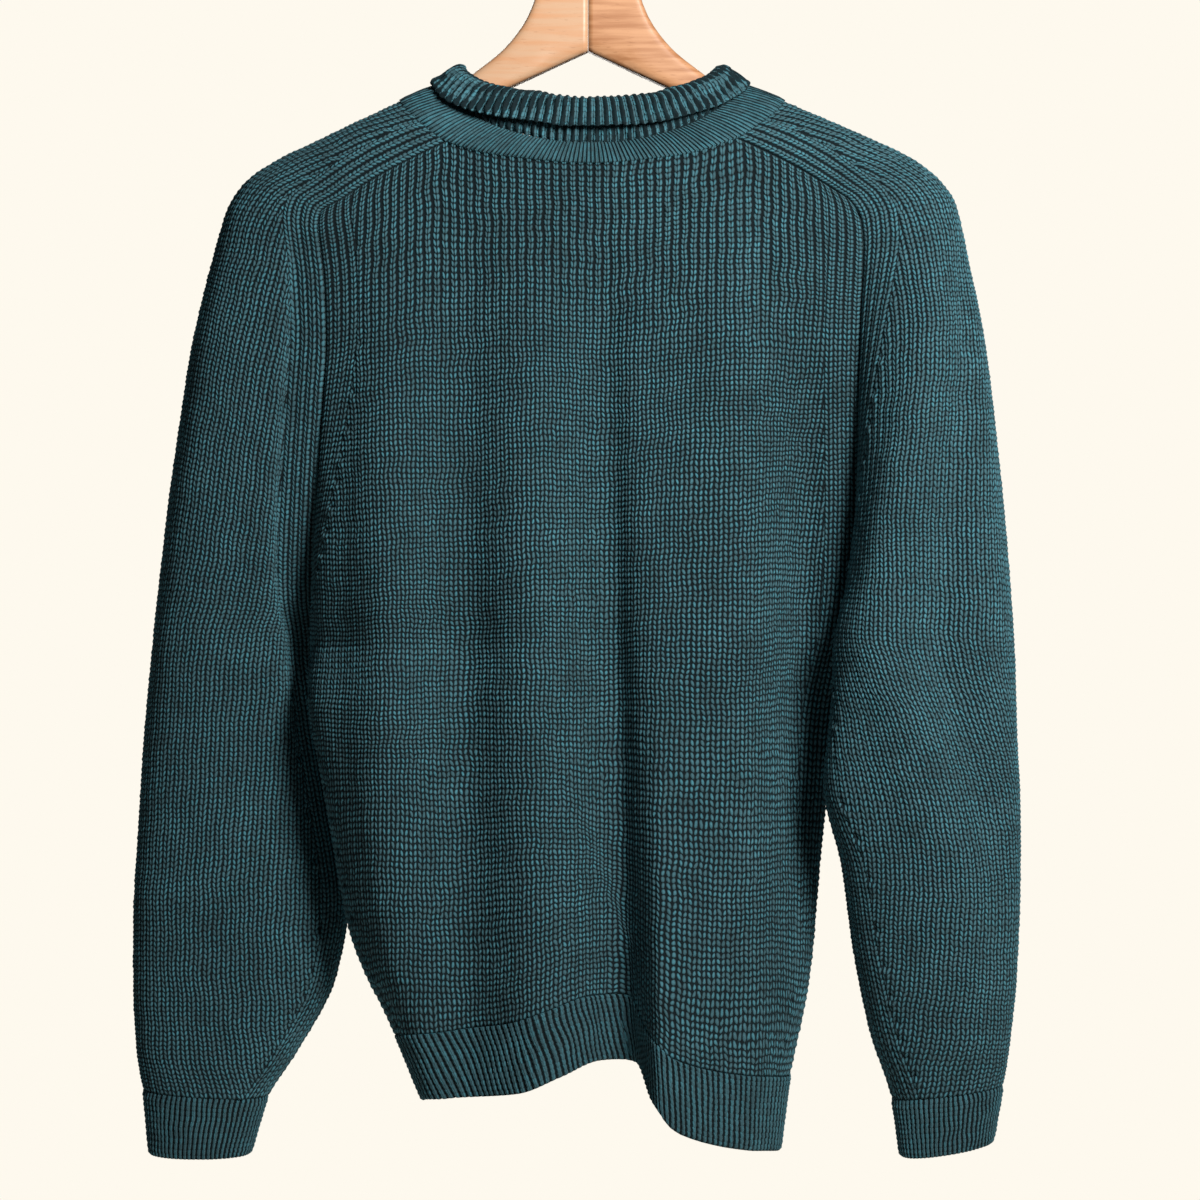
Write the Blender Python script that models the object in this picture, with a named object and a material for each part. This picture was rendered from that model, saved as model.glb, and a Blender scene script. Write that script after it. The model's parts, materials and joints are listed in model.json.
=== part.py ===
"""Roll-neck pullover in chunky knit wool, hung on a two-part wooden hanger.

The origin is inside the crown of the hanger's hook, where it sits on a rail.
+Z is up, -Y is the side that the garment's back faces and +X is the wearer's right.
Every length in the tables is in millimetres. Each knitted piece is one closed
plate: an outer surface from the tables and an inner one a wall thickness below it.
"""

import math

import bpy
import numpy as np

MM = 0.001
WALL = 3.0
SEAM_CLEARANCE = 0.21
MOST_SEAM_STRETCH = 1.8
HOOK_WIRE_RADIUS = 1.8
HOOK_CROWN_RADIUS = 20.0
HOOK_SIDES = 8
HOOK_BORE_CLEARANCE = 0.35
MITRE_HALF_GAP = 0.15
WOOD_BELOW_CLOTH = 0.8
WOOD_BELOW_SADDLE = 1.4

# Spans of the coarse grids, from the neck outward and downward
SADDLE_SPANS = 6
ARMHOLE_SPANS = 9
SIDE_SPANS = 7
NECK_SPANS = 20
TUBE_SPANS = 7
SLEEVE_ACROSS = 18
WELT_RIBS_PER_SPAN = 3
CUFF_RIBS_PER_SPAN = 3
COLLAR_RIBS = 80
RIB_DEPTH = 0.5
COLLAR_RIB_DEPTH = 0.8

# Stations along a sleeve where its shape changes kind
SADDLE_END = 4.0
UNDERARM = 13.0
CUFF_TOP = 19.0

# Levels down the body: the armhole takes one level for each sleeve station
UNDERARM_LEVEL = 9.0
WELT_TOP = 17.0
HEM = 18.5

SLEEVE_COLUMNS = (
    "outer_x", "outer_z", "seam_x", "seam_z", "depth",
    "half_thick", "back_angle", "front_angle", "square",
)
LEFT_SLEEVE = (
    (-113.5, -190.4, -87.7, -221.0, 0, 30, 90, 90, 2.2),
    (-140.8, -203.4, -112.0, -233.5, 0, 31, 90, 90, 2.2),
    (-166.2, -215.8, -132.7, -245.2, 0, 32, 90, 90, 2.2),
    (-191.6, -228.2, -149.6, -256.3, 0, 33, 88, 88, 2.2),
    (-212.1, -242.5, -162.3, -264.4, 0, 34, 84, 84, 2.2),
    (-222.7, -257.8, -164.1, -273.5, 1, 36, 78, 80, 2.2),
    (-228.5, -275.1, -162.3, -288.1, 2, 38, 72, 76, 2.2),
    (-233.6, -293.0, -159.9, -309.3, 3, 40, 66, 72, 2.2),
    (-239.4, -314.5, -158.9, -342.6, 5, 42, 60, 68, 2.2),
    (-246.5, -345.4, -161.1, -378.9, 7, 43, 54, 64, 2.2),
    (-253.2, -385.7, -164.2, -421.3, 10, 43, 46, 58, 2.2),
    (-260.6, -432.3, -167.0, -464.0, 14, 42, 36, 50, 2.2),
    (-267.5, -485.3, -169.1, -501.0, 18, 40, 20, 32, 2.2),
    (-273.1, -532.4, -169.7, -529.3, 22, 38, 0, 0, 2.2),
    (-278.9, -582.8, -166.0, -576.5, 29, 37, 0, 0, 2.2),
    (-283.0, -639.6, -158.3, -630.9, 31, 36, 2, -2, 2.2),
    (-285.9, -699.2, -150.7, -686.9, 28, 35, 5, -5, 2.2),
    (-285.2, -745.9, -158.2, -736.0, 23, 33, 8, -8, 2.2),
    (-281.9, -785.9, -182.4, -783.5, 18, 31, 8, -8, 2.2),
    (-278.3, -805.5, -199.5, -810.5, 15, 27, 8, -8, 2.2),
    (-273.9, -846.1, -210.9, -846.6, 13, 23, 10, -10, 2.2),
)
RIGHT_SLEEVE = (
    (118.5, -190.4, 94.0, -219.3, 0, 30, 90, 90, 2.2),
    (148.1, -203.4, 118.3, -231.7, 0, 31, 90, 90, 2.2),
    (176.0, -215.8, 136.5, -242.2, 0, 32, 90, 90, 2.2),
    (201.5, -228.2, 151.0, -251.5, 0, 33, 88, 88, 2.2),
    (218.2, -241.8, 160.7, -258.3, 0, 34, 84, 84, 2.2),
    (227.3, -256.4, 166.0, -270.1, -2, 36, 70, 78, 2.2),
    (232.0, -277.1, 167.2, -285.2, -4, 38, 56, 72, 2.2),
    (235.4, -295.8, 166.8, -303.2, -6, 41, 42, 68, 2.2),
    (240.1, -318.9, 165.9, -327.2, -8, 44, 30, 66, 2.2),
    (246.0, -356.1, 165.5, -363.1, -10, 46, 14, 64, 2.2),
    (250.1, -396.3, 166.0, -402.3, -12, 46, -4, 60, 2.2),
    (253.8, -442.6, 166.8, -445.2, -16, 45, -22, 56, 2.2),
    (256.7, -488.8, 166.3, -485.5, -22, 42, -34, 48, 2.2),
    (258.6, -534.5, 162.7, -525.7, -30, 39, -42, 42, 2.2),
    (259.9, -582.9, 150.5, -571.3, -38, 37, -22, 22, 2.2),
    (261.7, -622.1, 142.6, -613.2, -42, 36, -4, 4, 2.2),
    (262.5, -664.6, 154.2, -662.9, -41, 35, 8, -8, 2.2),
    (261.2, -719.6, 161.0, -709.7, -37, 33, 10, -10, 2.2),
    (257.1, -769.0, 172.5, -764.2, -32, 30, 12, -12, 2.2),
    (253.4, -795.8, 185.5, -804.0, -28, 26, 12, -12, 2.2),
    (247.3, -831.2, 191.0, -840.4, -27, 23, 12, -12, 2.2),
)

# Soft folds on a sleeve, where across runs from the back seam (0) over the outside to the front (1)
SLEEVE_FOLD_COLUMNS = ("across", "first", "last", "push", "half_width")
LEFT_SLEEVE_FOLDS = (
    (0.20, 9.0, 18.0, -2.5, 0.07),
    (0.36, 7.0, 18.5, 2.0, 0.08),
    (0.70, 9.0, 17.0, 2.5, 0.08),
    (0.86, 12.0, 18.0, -2.0, 0.06),
)
RIGHT_SLEEVE_FOLDS = (
    (0.27, 8.0, 18.5, 3.0, 0.07),
    (0.42, 10.0, 18.0, -2.0, 0.07),
    (0.66, 9.0, 17.5, 2.5, 0.09),
    (0.84, 12.0, 17.5, -2.0, 0.07),
)

# Side seams below the underarm
SIDE_COLUMNS = ("level", "x", "y", "z")
LEFT_SIDE = (
    (10, -170.1, -4, -568.3),
    (11, -164.8, -8, -599.8),
    (12, -158.5, -10, -636.6),
    (13, -152.8, -11, -672.6),
    (14, -146.6, -12, -705.3),
    (15, -136.8, -13, -731.8),
    (16, -127.2, -13, -750.6),
    (17, -118.8, -14, -769.0),
    (18.5, -102.0, -15, -809.0),
)
RIGHT_SIDE = (
    (10, 155.0, 8, -570.0),
    (11, 151.0, 9, -612.3),
    (12, 146.5, 8, -652.7),
    (13, 143.0, 6, -690.7),
    (14, 139.8, 4, -724.7),
    (15, 135.0, 2, -753.5),
    (16, 129.8, 0, -776.0),
    (17, 125.4, -2, -796.0),
    (18.5, 119.2, -4, -841.2),
)

# How far each panel stands off the line between its side edges, and how far it wraps round them.
# A wrap angle of 0 turns the edge square to the panel, and a larger one leaves it flatter.
BODY_COLUMNS = (
    "level", "back_mid", "front_mid", "back_left", "back_right",
    "front_left", "front_right", "square",
)
BODY_ROWS = (
    (0, -44, 46, 32, 32, 32, 32, 2.3),
    (2, -46, 48, 28, 30, 30, 30, 2.3),
    (4, -48, 50, 20, 32, 30, 28, 2.3),
    (6, -51, 53, 8, 36, 32, 26, 2.3),
    (8, -55, 56, -6, 44, 40, 18, 2.3),
    (9, -57, 57, -10, 46, 42, 10, 2.3),
    (11, -60, 58, -8, 30, 30, 4, 2.3),
    (13, -62, 60, -4, 14, 20, 2, 2.3),
    (15, -64, 62, 0, 6, 12, 0, 2.3),
    (18.5, -66, 64, 0, 4, 6, 0, 2.3),
)

# Ridges (push above 0) and troughs (push below 0) down a panel, each along a straight line
FOLD_COLUMNS = (
    "top_x", "top_z", "low_x", "low_z",
    "push_top", "push_mid", "push_low", "left_width", "right_width",
)
BACK_FOLDS = (
    (-124, -370, -122, -650, 3.0, 8.0, 4.0, 18, 24),
    (-76, -390, -72, -700, -3.0, -8.0, -3.0, 22, 22),
    (-36, -400, -30, -720, 2.0, 6.5, 5.0, 22, 20),
    (8, -440, 24, -815, -2.0, -11.0, -25.0, 28, 10),
    (42, -420, 48, -830, 2.0, 9.0, 20.0, 10, 34),
    (92, -350, 96, -800, 3.0, 7.0, 2.0, 26, 22),
    (136, -420, 138, -650, -3.0, -7.0, -2.0, 16, 20),
)
FRONT_FOLDS = (
    (-112, -380, -104, -760, 3.0, 8.0, 4.0, 22, 22),
    (-62, -400, -48, -800, -3.0, -9.0, -12.0, 20, 18),
    (-18, -430, -6, -800, 2.0, 7.0, 12.0, 18, 24),
    (30, -400, 36, -780, -2.0, -7.0, -6.0, 22, 22),
    (78, -370, 72, -800, 3.0, 8.0, 7.0, 24, 20),
    (118, -430, 104, -760, -2.0, -5.0, -3.0, 16, 16),
)

# Height of the hem above or below the straight line between its two corners
HEM_COLUMNS = ("part", "back_rise", "front_rise")
HEM_ROWS = (
    (0.00, 0, 0),
    (0.10, 4, 8),
    (0.25, 11, 18),
    (0.36, 22, 30),
    (0.44, 36, 38),
    (0.51, 46, 42),
    (0.56, 44, 44),
    (0.62, 27, 44),
    (0.68, 14, 42),
    (0.80, 6, 36),
    (0.90, 3, 20),
    (1.00, 0, 0),
)

# The neckline on the outside of the cloth. Angle 0 is the wearer's right, 90 the front and 270 the back.
NECK_CENTRE_X = 1.5
NECK_COLUMNS = ("angle", "half_width", "depth", "z")
NECKLINE = (
    (0, 117.0, 45.0, -190.6),
    (22, 117.0, 45.0, -201.0),
    (42, 117.0, 45.0, -221.5),
    (60, 116.0, 46.0, -243.0),
    (90, 116.0, 47.0, -262.0),
    (120, 116.0, 46.0, -243.0),
    (138, 115.0, 45.0, -221.5),
    (158, 115.0, 45.0, -201.0),
    (180, 115.0, 45.0, -190.6),
    (202, 115.0, 45.0, -202.5),
    (222, 115.0, 45.0, -218.5),
    (244, 116.0, 45.0, -227.0),
    (270, 116.0, 45.0, -231.0),
    (296, 116.0, 45.0, -227.0),
    (318, 117.0, 45.0, -217.5),
    (338, 117.0, 45.0, -202.0),
    (360, 117.0, 45.0, -190.6),
)
BACK_SEAM_ANGLE = 42.0

# Closed rings that make the neck band and the folded collar, from the neckline up and over
RING_COLUMNS = ("half_width", "back", "front", "side_z", "back_z", "front_z", "power", "rib")
FRONT_POWER_MORE = 0.4
BAND_TOP = (91.0, 40.0, 42.0, -180.6, -218.9, -247.4, 1.2, 0)
BAND_TOP_INSIDE = (88.0, 36.8, 38.8, -182.4, -218.9, -247.4, 1.2, 0)
COLLAR_RINGS = (
    (91.0, 39.8, 41.8, -180.0, -218.2, -246.7, 1.2, 1),
    (88.0, 38.6, 40.5, -177.8, -207.0, -236.0, 1.2, 1),
    (84.5, 39.5, 41.5, -175.4, -194.5, -223.5, 1.2, 0),
    (96.0, 43.5, 45.5, -181.4, -205.6, -235.0, 1.1, 0),
    (98.0, 46.6, 48.6, -179.8, -206.4, -236.0, 1.1, 1),
    (93.0, 45.2, 47.2, -176.2, -198.5, -228.0, 1.15, 1),
    (87.5, 43.6, 45.6, -172.0, -191.4, -220.5, 1.2, 1),
    (82.0, 40.3, 42.3, -169.4, -189.0, -218.0, 1.2, 1),
    (77.5, 36.4, 38.4, -172.4, -192.0, -221.0, 1.2, 0),
    (88.0, 36.6, 38.6, -181.8, -218.2, -246.7, 1.2, 0),
)

# Outline of the wood from the middle of the hanger outward
WOOD_COLUMNS = ("x", "top_z", "low_z", "half_thick", "square")
WOOD_ROWS = (
    (0.0, -70.0, -161.2, 8.0, 6.0),
    (8.0, -71.0, -164.9, 8.0, 6.0),
    (16.0, -74.5, -168.6, 8.0, 6.0),
    (22.0, -82.0, -171.4, 8.0, 6.0),
    (25.0, -93.0, -172.8, 8.0, 6.0),
    (27.5, -108.0, -174.0, 8.0, 6.0),
    (32.8, -129.0, -176.4, 8.0, 6.0),
    (38.0, -141.5, -178.8, 8.0, 5.5),
    (46.2, -153.5, -182.6, 8.0, 5.0),
    (54.3, -162.2, -186.4, 8.0, 4.5),
    (68.5, -173.2, -193.0, 8.0, 3.5),
    (80.0, -181.6, -198.3, 8.0, 2.6),
    (92.0, -189.6, -203.8, 8.0, 2.3),
)
WOOD_TIP_X = 200.0
WOOD_ARM_SLOPE = 0.463
WOOD_TIP_HALF_THICK = 14.0
WOOD_SECTION_POINTS = 14
BORE_DEPTH = 16.0

# name: (colour, roughness, metallic), the colour in linear light
MATERIALS = {
    "wool_body": ((0.022, 0.052, 0.060), 0.92, 0.0),
    "wool_rib": ((0.026, 0.060, 0.070), 0.92, 0.0),
    "wood_left": ((0.84, 0.52, 0.31), 0.50, 0.0),
    "wood_right": ((0.80, 0.42, 0.21), 0.50, 0.0),
    "steel": ((0.62, 0.62, 0.63), 0.28, 1.0),
}


def clear_scene():
    for old in list(bpy.data.objects):
        bpy.data.objects.remove(old, do_unlink=True)


def make_materials():
    made = {}
    for name, (colour, roughness, metallic) in MATERIALS.items():
        material = bpy.data.materials.new(name)
        material.use_nodes = True
        shader = material.node_tree.nodes["Principled BSDF"]
        shader.inputs["Base Color"].default_value = (*colour, 1.0)
        shader.inputs["Roughness"].default_value = roughness
        shader.inputs["Metallic"].default_value = metallic
        material.diffuse_color = (*colour, 1.0)
        made[name] = material
    return made


def column(rows, columns, name):
    return np.array([row[columns.index(name)] for row in rows], float)


def smooth(at, knots, values):
    """Smooth curve through the values, with no overshoot between the knots."""
    at = np.clip(at, knots[0], knots[-1])
    rise = np.diff(values) / np.diff(knots)
    before, after = rise[:-1], rise[1:]
    same_way = before * after > 0
    total = np.where(same_way, before + after, 1.0)
    inner = np.where(same_way, 2.0 * before * after / total, 0.0)
    slopes = np.concatenate([rise[:1], inner, rise[-1:]])
    place = np.clip(np.searchsorted(knots, at, side="right") - 1, 0, len(knots) - 2)
    span = knots[place + 1] - knots[place]
    f = (at - knots[place]) / span
    start = (1 + 2 * f) * (1 - f) ** 2 * values[place]
    end = f * f * (3 - 2 * f) * values[place + 1]
    bend = f * (1 - f) * span * ((1 - f) * slopes[place] - f * slopes[place + 1])
    return start + end + bend


def smooth_row(at, rows, columns, key=None):
    """The table's row at this place, each column smoothed, as a dictionary."""
    knots = column(rows, columns, key) if key else np.arange(len(rows), dtype=float)
    return {
        name: float(smooth(np.array(at, float), knots, column(rows, columns, name)))
        for name in columns
    }


def spread(points, parts):
    """Points at these parts (0 to 1) of the length of a line of points."""
    steps = np.linalg.norm(np.diff(points, axis=0), axis=1)
    length = np.concatenate([[0.0], np.cumsum(steps)])
    at = np.asarray(parts) * length[-1]
    return np.stack([np.interp(at, length, points[:, axis]) for axis in range(3)], axis=1)


def squarish(angle, square):
    """Cosine and sine of a superellipse, which is a circle at square 2."""
    c, s = np.cos(angle), np.sin(angle)
    reach = (np.abs(c) ** square + np.abs(s) ** square) ** (-1.0 / square)
    return c * reach, s * reach


def neck_point(angle):
    """Points of the neckline at these angles in degrees."""
    rows = NECKLINE[-2:-1] + NECKLINE + NECKLINE[1:2]
    knots = column(rows, NECK_COLUMNS, "angle")
    knots[0] -= 360.0
    knots[-1] += 360.0
    angle = np.mod(angle, 360.0)
    half, depth, z = (
        smooth(angle, knots, column(rows, NECK_COLUMNS, name))
        for name in ("half_width", "depth", "z")
    )
    turn = np.radians(angle)
    return np.stack([NECK_CENTRE_X + half * np.cos(turn), depth * np.sin(turn), z], axis=1)


def neck_arc(first, last, parts):
    """Evenly spaced points of the neckline between two angles."""
    return spread(neck_point(np.linspace(first, last, 241)), parts)


def sleeve_fold(folds, along, across):
    push = np.zeros_like(across)
    for row in folds:
        fold = dict(zip(SLEEVE_FOLD_COLUMNS, row))
        run = (along - fold["first"]) / (fold["last"] - fold["first"])
        if 0.0 < run < 1.0:
            strength = fold["push"] * math.sin(math.pi * run)
            push += strength * np.exp(-(((across - fold["across"]) / fold["half_width"]) ** 2))
    return push


def sleeve_line(side, along, parts):
    """One section of a sleeve, from its back seam over the outside to its front seam."""
    table, folds, saddle = {
        "left": (LEFT_SLEEVE, LEFT_SLEEVE_FOLDS, (180 + BACK_SEAM_ANGLE, 180 - BACK_SEAM_ANGLE)),
        "right": (RIGHT_SLEEVE, RIGHT_SLEEVE_FOLDS, (-BACK_SEAM_ANGLE, BACK_SEAM_ANGLE)),
    }[side]
    row = smooth_row(along, table, SLEEVE_COLUMNS)
    start = math.radians(row["back_angle"])
    end = 2 * math.pi - math.radians(row["front_angle"])
    c, s = squarish(np.linspace(start, end, 361), row["square"])
    reach_x = (row["outer_x"] - row["seam_x"]) / (1 + c[0])
    reach_z = (row["outer_z"] - row["seam_z"]) / (1 + c[0])
    line = np.stack(
        [
            row["outer_x"] - reach_x * (1 + c),
            row["depth"] - row["half_thick"] * s,
            row["outer_z"] - reach_z * (1 + c),
        ],
        axis=1,
    )
    points = spread(line, parts)
    push = sleeve_fold(folds, along, np.asarray(parts))
    middle = line.mean(axis=0)
    away = points - middle
    points = points + push[:, None] * away / np.linalg.norm(away, axis=1)[:, None]
    if along < 1.5:
        share = 1.0 - along / 1.5
        share = share * share * (3 - 2 * share)
        points = share * neck_arc(*saddle, parts) + (1 - share) * points
    return points


def sleeve_seam(side, along, which):
    return sleeve_line(side, along, [0.0, 1.0])[0 if which == "back" else 1]


def side_point(side, which, level):
    """The side edge of a panel: the armhole seam, then the side seam."""
    if level <= UNDERARM_LEVEL:
        return sleeve_seam(side, SADDLE_END + level, which)
    underarm = sleeve_seam(side, UNDERARM, which)
    rows = ((UNDERARM_LEVEL, *underarm),) + (LEFT_SIDE if side == "left" else RIGHT_SIDE)
    row = smooth_row(level, rows, SIDE_COLUMNS, "level")
    return np.array([row["x"], row["y"], row["z"]])


def top_line(which, parts):
    """The panel's top edge: saddle seam, neckline, saddle seam, at parts of each of the three."""
    saddle_at = np.linspace(SADDLE_END, 0.0, 25)
    left = np.array([sleeve_seam("left", at, which) for at in saddle_at])
    right = np.array([sleeve_seam("right", at, which) for at in saddle_at])[::-1]
    if which == "back":
        neck = neck_arc(180 + BACK_SEAM_ANGLE, 360 - BACK_SEAM_ANGLE, np.linspace(0, 1, 61))
    else:
        neck = neck_arc(180 - BACK_SEAM_ANGLE, BACK_SEAM_ANGLE, np.linspace(0, 1, 61))
    whole = SADDLE_SPANS * 2 + NECK_SPANS
    first, last = SADDLE_SPANS / whole, 1 - SADDLE_SPANS / whole
    parts = np.asarray(parts)
    at_left = np.clip(parts / first, 0, 1) * 24
    at_right = np.clip((parts - last) / (1 - last), 0, 1) * 24
    at_neck = np.clip((parts - first) / (last - first), 0, 1) * 60
    points = np.empty((len(parts), 3))
    for axis in range(3):
        on_left = np.interp(at_left, np.arange(25), left[:, axis])
        on_right = np.interp(at_right, np.arange(25), right[:, axis])
        on_neck = np.interp(at_neck, np.arange(61), neck[:, axis])
        points[:, axis] = np.where(
            parts <= first, on_left, np.where(parts >= last, on_right, on_neck)
        )
    return points


def fold_push(folds, x, z):
    """How far the folds push the cloth out at these places."""
    push = np.zeros_like(x)
    for row in folds:
        fold = dict(zip(FOLD_COLUMNS, row))
        run = (fold["top_z"] - z) / (fold["top_z"] - fold["low_z"])
        centre = fold["top_x"] + run * (fold["low_x"] - fold["top_x"])
        strength = smooth(
            run,
            np.array([-0.25, 0.0, 0.5, 1.0, 1.25]),
            np.array([0.0, fold["push_top"], fold["push_mid"], fold["push_low"], fold["push_low"]]),
        )
        off = x - centre
        width = np.where(off < 0, fold["left_width"], fold["right_width"])
        push += strength * np.exp(-((off / width) ** 2))
    return push


def plain_row(which, level, parts):
    """One course of a panel before its top edge is fitted to the shoulder and neck."""
    left = side_point("left", which, level)
    right = side_point("right", which, level)
    row = smooth_row(level, BODY_ROWS, BODY_COLUMNS, "level")
    first = math.radians(row[which + "_left"])
    last = math.pi - math.radians(row[which + "_right"])
    c, s = squarish(np.linspace(first, last, 401), row["square"])
    base = s - np.interp(-c, [-c[0], -c[-1]], [s[0], s[-1]])
    w = (-c + c[0]) / (-c[-1] + c[0])
    line = left + (right - left) * w[:, None]
    if level > WELT_TOP - 8:
        fade = (level - (WELT_TOP - 8)) / (HEM - WELT_TOP + 8)
        rise = smooth(
            np.linspace(0, 1, 401),
            column(HEM_ROWS, HEM_COLUMNS, "part"),
            column(HEM_ROWS, HEM_COLUMNS, which + "_rise"),
        )
        line[:, 2] += rise * fade * fade * (3 - 2 * fade)
    middle_y = (left[1] + right[1]) / 2
    swell = (row[which + "_mid"] - middle_y) / base.max()
    line[:, 1] += swell * base
    outward = -1.0 if which == "back" else 1.0
    folds = BACK_FOLDS if which == "back" else FRONT_FOLDS
    near_edge = np.minimum(1.0, np.minimum(w, 1 - w).clip(0) * 12)
    line[:, 1] += outward * fold_push(folds, line[:, 0], line[:, 2]) * near_edge
    return spread(line, parts)


def panel_row(which, level, parts):
    """One course of a panel, from its left edge to its right."""
    points = plain_row(which, level, parts)
    reach = 7.0
    if level < reach:
        share = (1 - level / reach) ** 2
        points = points + share * (top_line(which, parts) - plain_row(which, 0.0, parts))
    return points


def normals_of(grid, flip):
    down = np.gradient(grid, axis=0)
    across = np.gradient(grid, axis=1)
    normal = np.cross(across, down)
    normal /= np.linalg.norm(normal, axis=2)[:, :, None]
    return -normal if flip else normal


class Sheet:
    """The outer grid of a piece and the way each of its points faces."""

    def __init__(self, name, grid, flip, material, seams="tblr"):
        self.name = name
        self.grid = grid
        self.normal = normals_of(grid, flip)
        self.flip = flip
        self.material = material
        self.seams = seams

    def edges(self):
        """Index pairs of the points that lie on a seam."""
        rows, columns = self.grid.shape[:2]
        found = set()
        if "t" in self.seams:
            found |= {(0, k) for k in range(columns)}
        if "b" in self.seams:
            found |= {(rows - 1, k) for k in range(columns)}
        if "l" in self.seams:
            found |= {(k, 0) for k in range(rows)}
        if "r" in self.seams:
            found |= {(k, columns - 1) for k in range(rows)}
        return sorted(found)


def share_seam_normals(sheets):
    """Lets pieces that meet at a seam face the same way there, so that their walls stay side by side."""
    places, facing, owner = [], [], []
    for sheet in sheets:
        for row, col in sheet.edges():
            places.append(sheet.grid[row, col])
            facing.append(sheet.normal[row, col])
            owner.append((sheet, row, col))
    places, facing = np.array(places), np.array(facing)
    for index, (sheet, row, col) in enumerate(owner):
        near = np.linalg.norm(places - places[index], axis=1) < 1.0
        names = {owner[other][0].name for other in np.flatnonzero(near)}
        at_underarm = len(names) == 3
        if at_underarm:
            kind = sheet.name.split("_")[1]
            near &= np.array([other[0].name.endswith(kind) for other in owner])
        mean = facing[near].sum(axis=0)
        mean /= np.linalg.norm(mean)
        if at_underarm:
            mean = (mean + (0.0, 0.0, -0.8)) / np.linalg.norm(mean + (0.0, 0.0, -0.8))
        lean = max(float((facing[near] @ mean).mean()), 1.0 / MOST_SEAM_STRETCH)
        sheet.normal[row, col] = mean / lean


def pull_in(sheet):
    """Moves the seam edges of the outer grid back by the clearance, square to each edge."""
    grid = sheet.grid.copy()
    moves = (
        ("t", (0, slice(None)), (1, slice(None))),
        ("b", (-1, slice(None)), (-2, slice(None))),
        ("l", (slice(None), 0), (slice(None), 1)),
        ("r", (slice(None), -1), (slice(None), -2)),
    )
    for edge, at, inside in moves:
        if edge in sheet.seams:
            way = sheet.grid[inside] - sheet.grid[at]
            line = np.gradient(sheet.grid[at], axis=0)
            line /= np.linalg.norm(line, axis=1)[:, None]
            way -= (way * line).sum(axis=1)[:, None] * line
            way /= np.linalg.norm(way, axis=1)[:, None]
            grid[at] += SEAM_CLEARANCE * way
    return grid


def stitch(fine, coarse, fine_ids, coarse_ids):
    """Triangles between two lines of points, where the first has a whole number of steps for each of the second's."""
    ratio = (len(fine) - 1) // (len(coarse) - 1)
    faces = []
    for span in range(len(coarse) - 1):
        half = ratio // 2 if ratio > 1 else 1
        for step in range(ratio):
            a = fine_ids[span * ratio + step]
            b = fine_ids[span * ratio + step + 1]
            faces.append((a, b, coarse_ids[span + (step >= half)]))
        middle = fine_ids[span * ratio + half]
        faces.append((middle, coarse_ids[span + 1], coarse_ids[span]))
    return faces


def build_mesh(name, points, faces, material):
    mesh = bpy.data.meshes.new(name)
    mesh.from_pydata([tuple(p) for p in np.asarray(points) * MM], [], faces)
    mesh.update()
    mesh.materials.append(material)
    for polygon in mesh.polygons:
        polygon.use_smooth = True
    made = bpy.data.objects.new(name, mesh)
    bpy.context.scene.collection.objects.link(made)
    return made


def short_diagonals(grid):
    """True for each cell of the grid that is split from its first corner to its third."""
    first = np.linalg.norm(grid[1:, 1:] - grid[:-1, :-1], axis=2)
    second = np.linalg.norm(grid[1:, :-1] - grid[:-1, 1:], axis=2)
    return first <= second


def grid_faces(ids, splits, turned):
    """Two triangles for each cell, split alike on both sides of a wall so that it keeps its thickness."""
    faces = []
    for row in range(ids.shape[0] - 1):
        for col in range(ids.shape[1] - 1):
            a, b = ids[row, col], ids[row, col + 1]
            c, d = ids[row + 1, col + 1], ids[row + 1, col]
            pair = ((a, b, c), (a, c, d)) if splits[row, col] else ((a, b, d), (b, c, d))
            faces += [face[::-1] for face in pair] if turned else pair
    return faces


def plate(sheet, outer, inner, materials):
    """A closed plate from an outer grid and an inner one with the same rows and as many columns or fewer."""
    outer_ids = np.arange(outer.shape[0] * outer.shape[1]).reshape(outer.shape[:2])
    inner_ids = outer_ids.size + np.arange(inner.shape[0] * inner.shape[1]).reshape(inner.shape[:2])
    points = np.concatenate([outer.reshape(-1, 3), inner.reshape(-1, 3)])
    splits = short_diagonals(inner)
    if outer.shape == inner.shape:
        faces = grid_faces(outer_ids, splits, sheet.flip)
    else:
        faces = grid_faces(outer_ids, short_diagonals(outer), sheet.flip)
    faces += grid_faces(inner_ids, splits, not sheet.flip)
    borders = (
        stitch(outer[0], inner[0], outer_ids[0], inner_ids[0]),
        stitch(outer[-1], inner[-1], outer_ids[-1][::-1], inner_ids[-1][::-1]),
        stitch(outer[:, 0], inner[:, 0], outer_ids[::-1, 0], inner_ids[::-1, 0]),
        stitch(outer[:, -1], inner[:, -1], outer_ids[:, -1], inner_ids[:, -1]),
    )
    for border in borders:
        faces += border if sheet.flip else [face[::-1] for face in border]
    faces = [tuple(int(index) for index in face) for face in faces]
    return build_mesh(sheet.name, points, faces, materials[sheet.material])


def plain_plate(sheet, materials):
    outer = pull_in(sheet)
    return plate(sheet, outer, outer - WALL * sheet.normal, materials)


def ribbed_plate(sheet, ribs_per_span, materials):
    """A plate whose outer surface carries ribs between the coarse points of its plain inside."""
    coarse = pull_in(sheet)
    inner = coarse - WALL * sheet.normal
    steps = ribs_per_span * 2
    count = (coarse.shape[1] - 1) * steps + 1
    at = np.arange(count) / steps
    knots = np.arange(coarse.shape[1])
    outer = np.empty((coarse.shape[0], count, 3))
    raised = np.where(np.arange(count) % 2 == 1, RIB_DEPTH, -RIB_DEPTH)
    raised[[0, -1]] = 0.0
    for row in range(coarse.shape[0]):
        for axis in range(3):
            base = np.interp(at, knots, coarse[row, :, axis])
            facing = np.interp(at, knots, sheet.normal[row, :, axis])
            outer[row, :, axis] = base + raised * facing
    return plate(sheet, outer, inner, materials)


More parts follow.
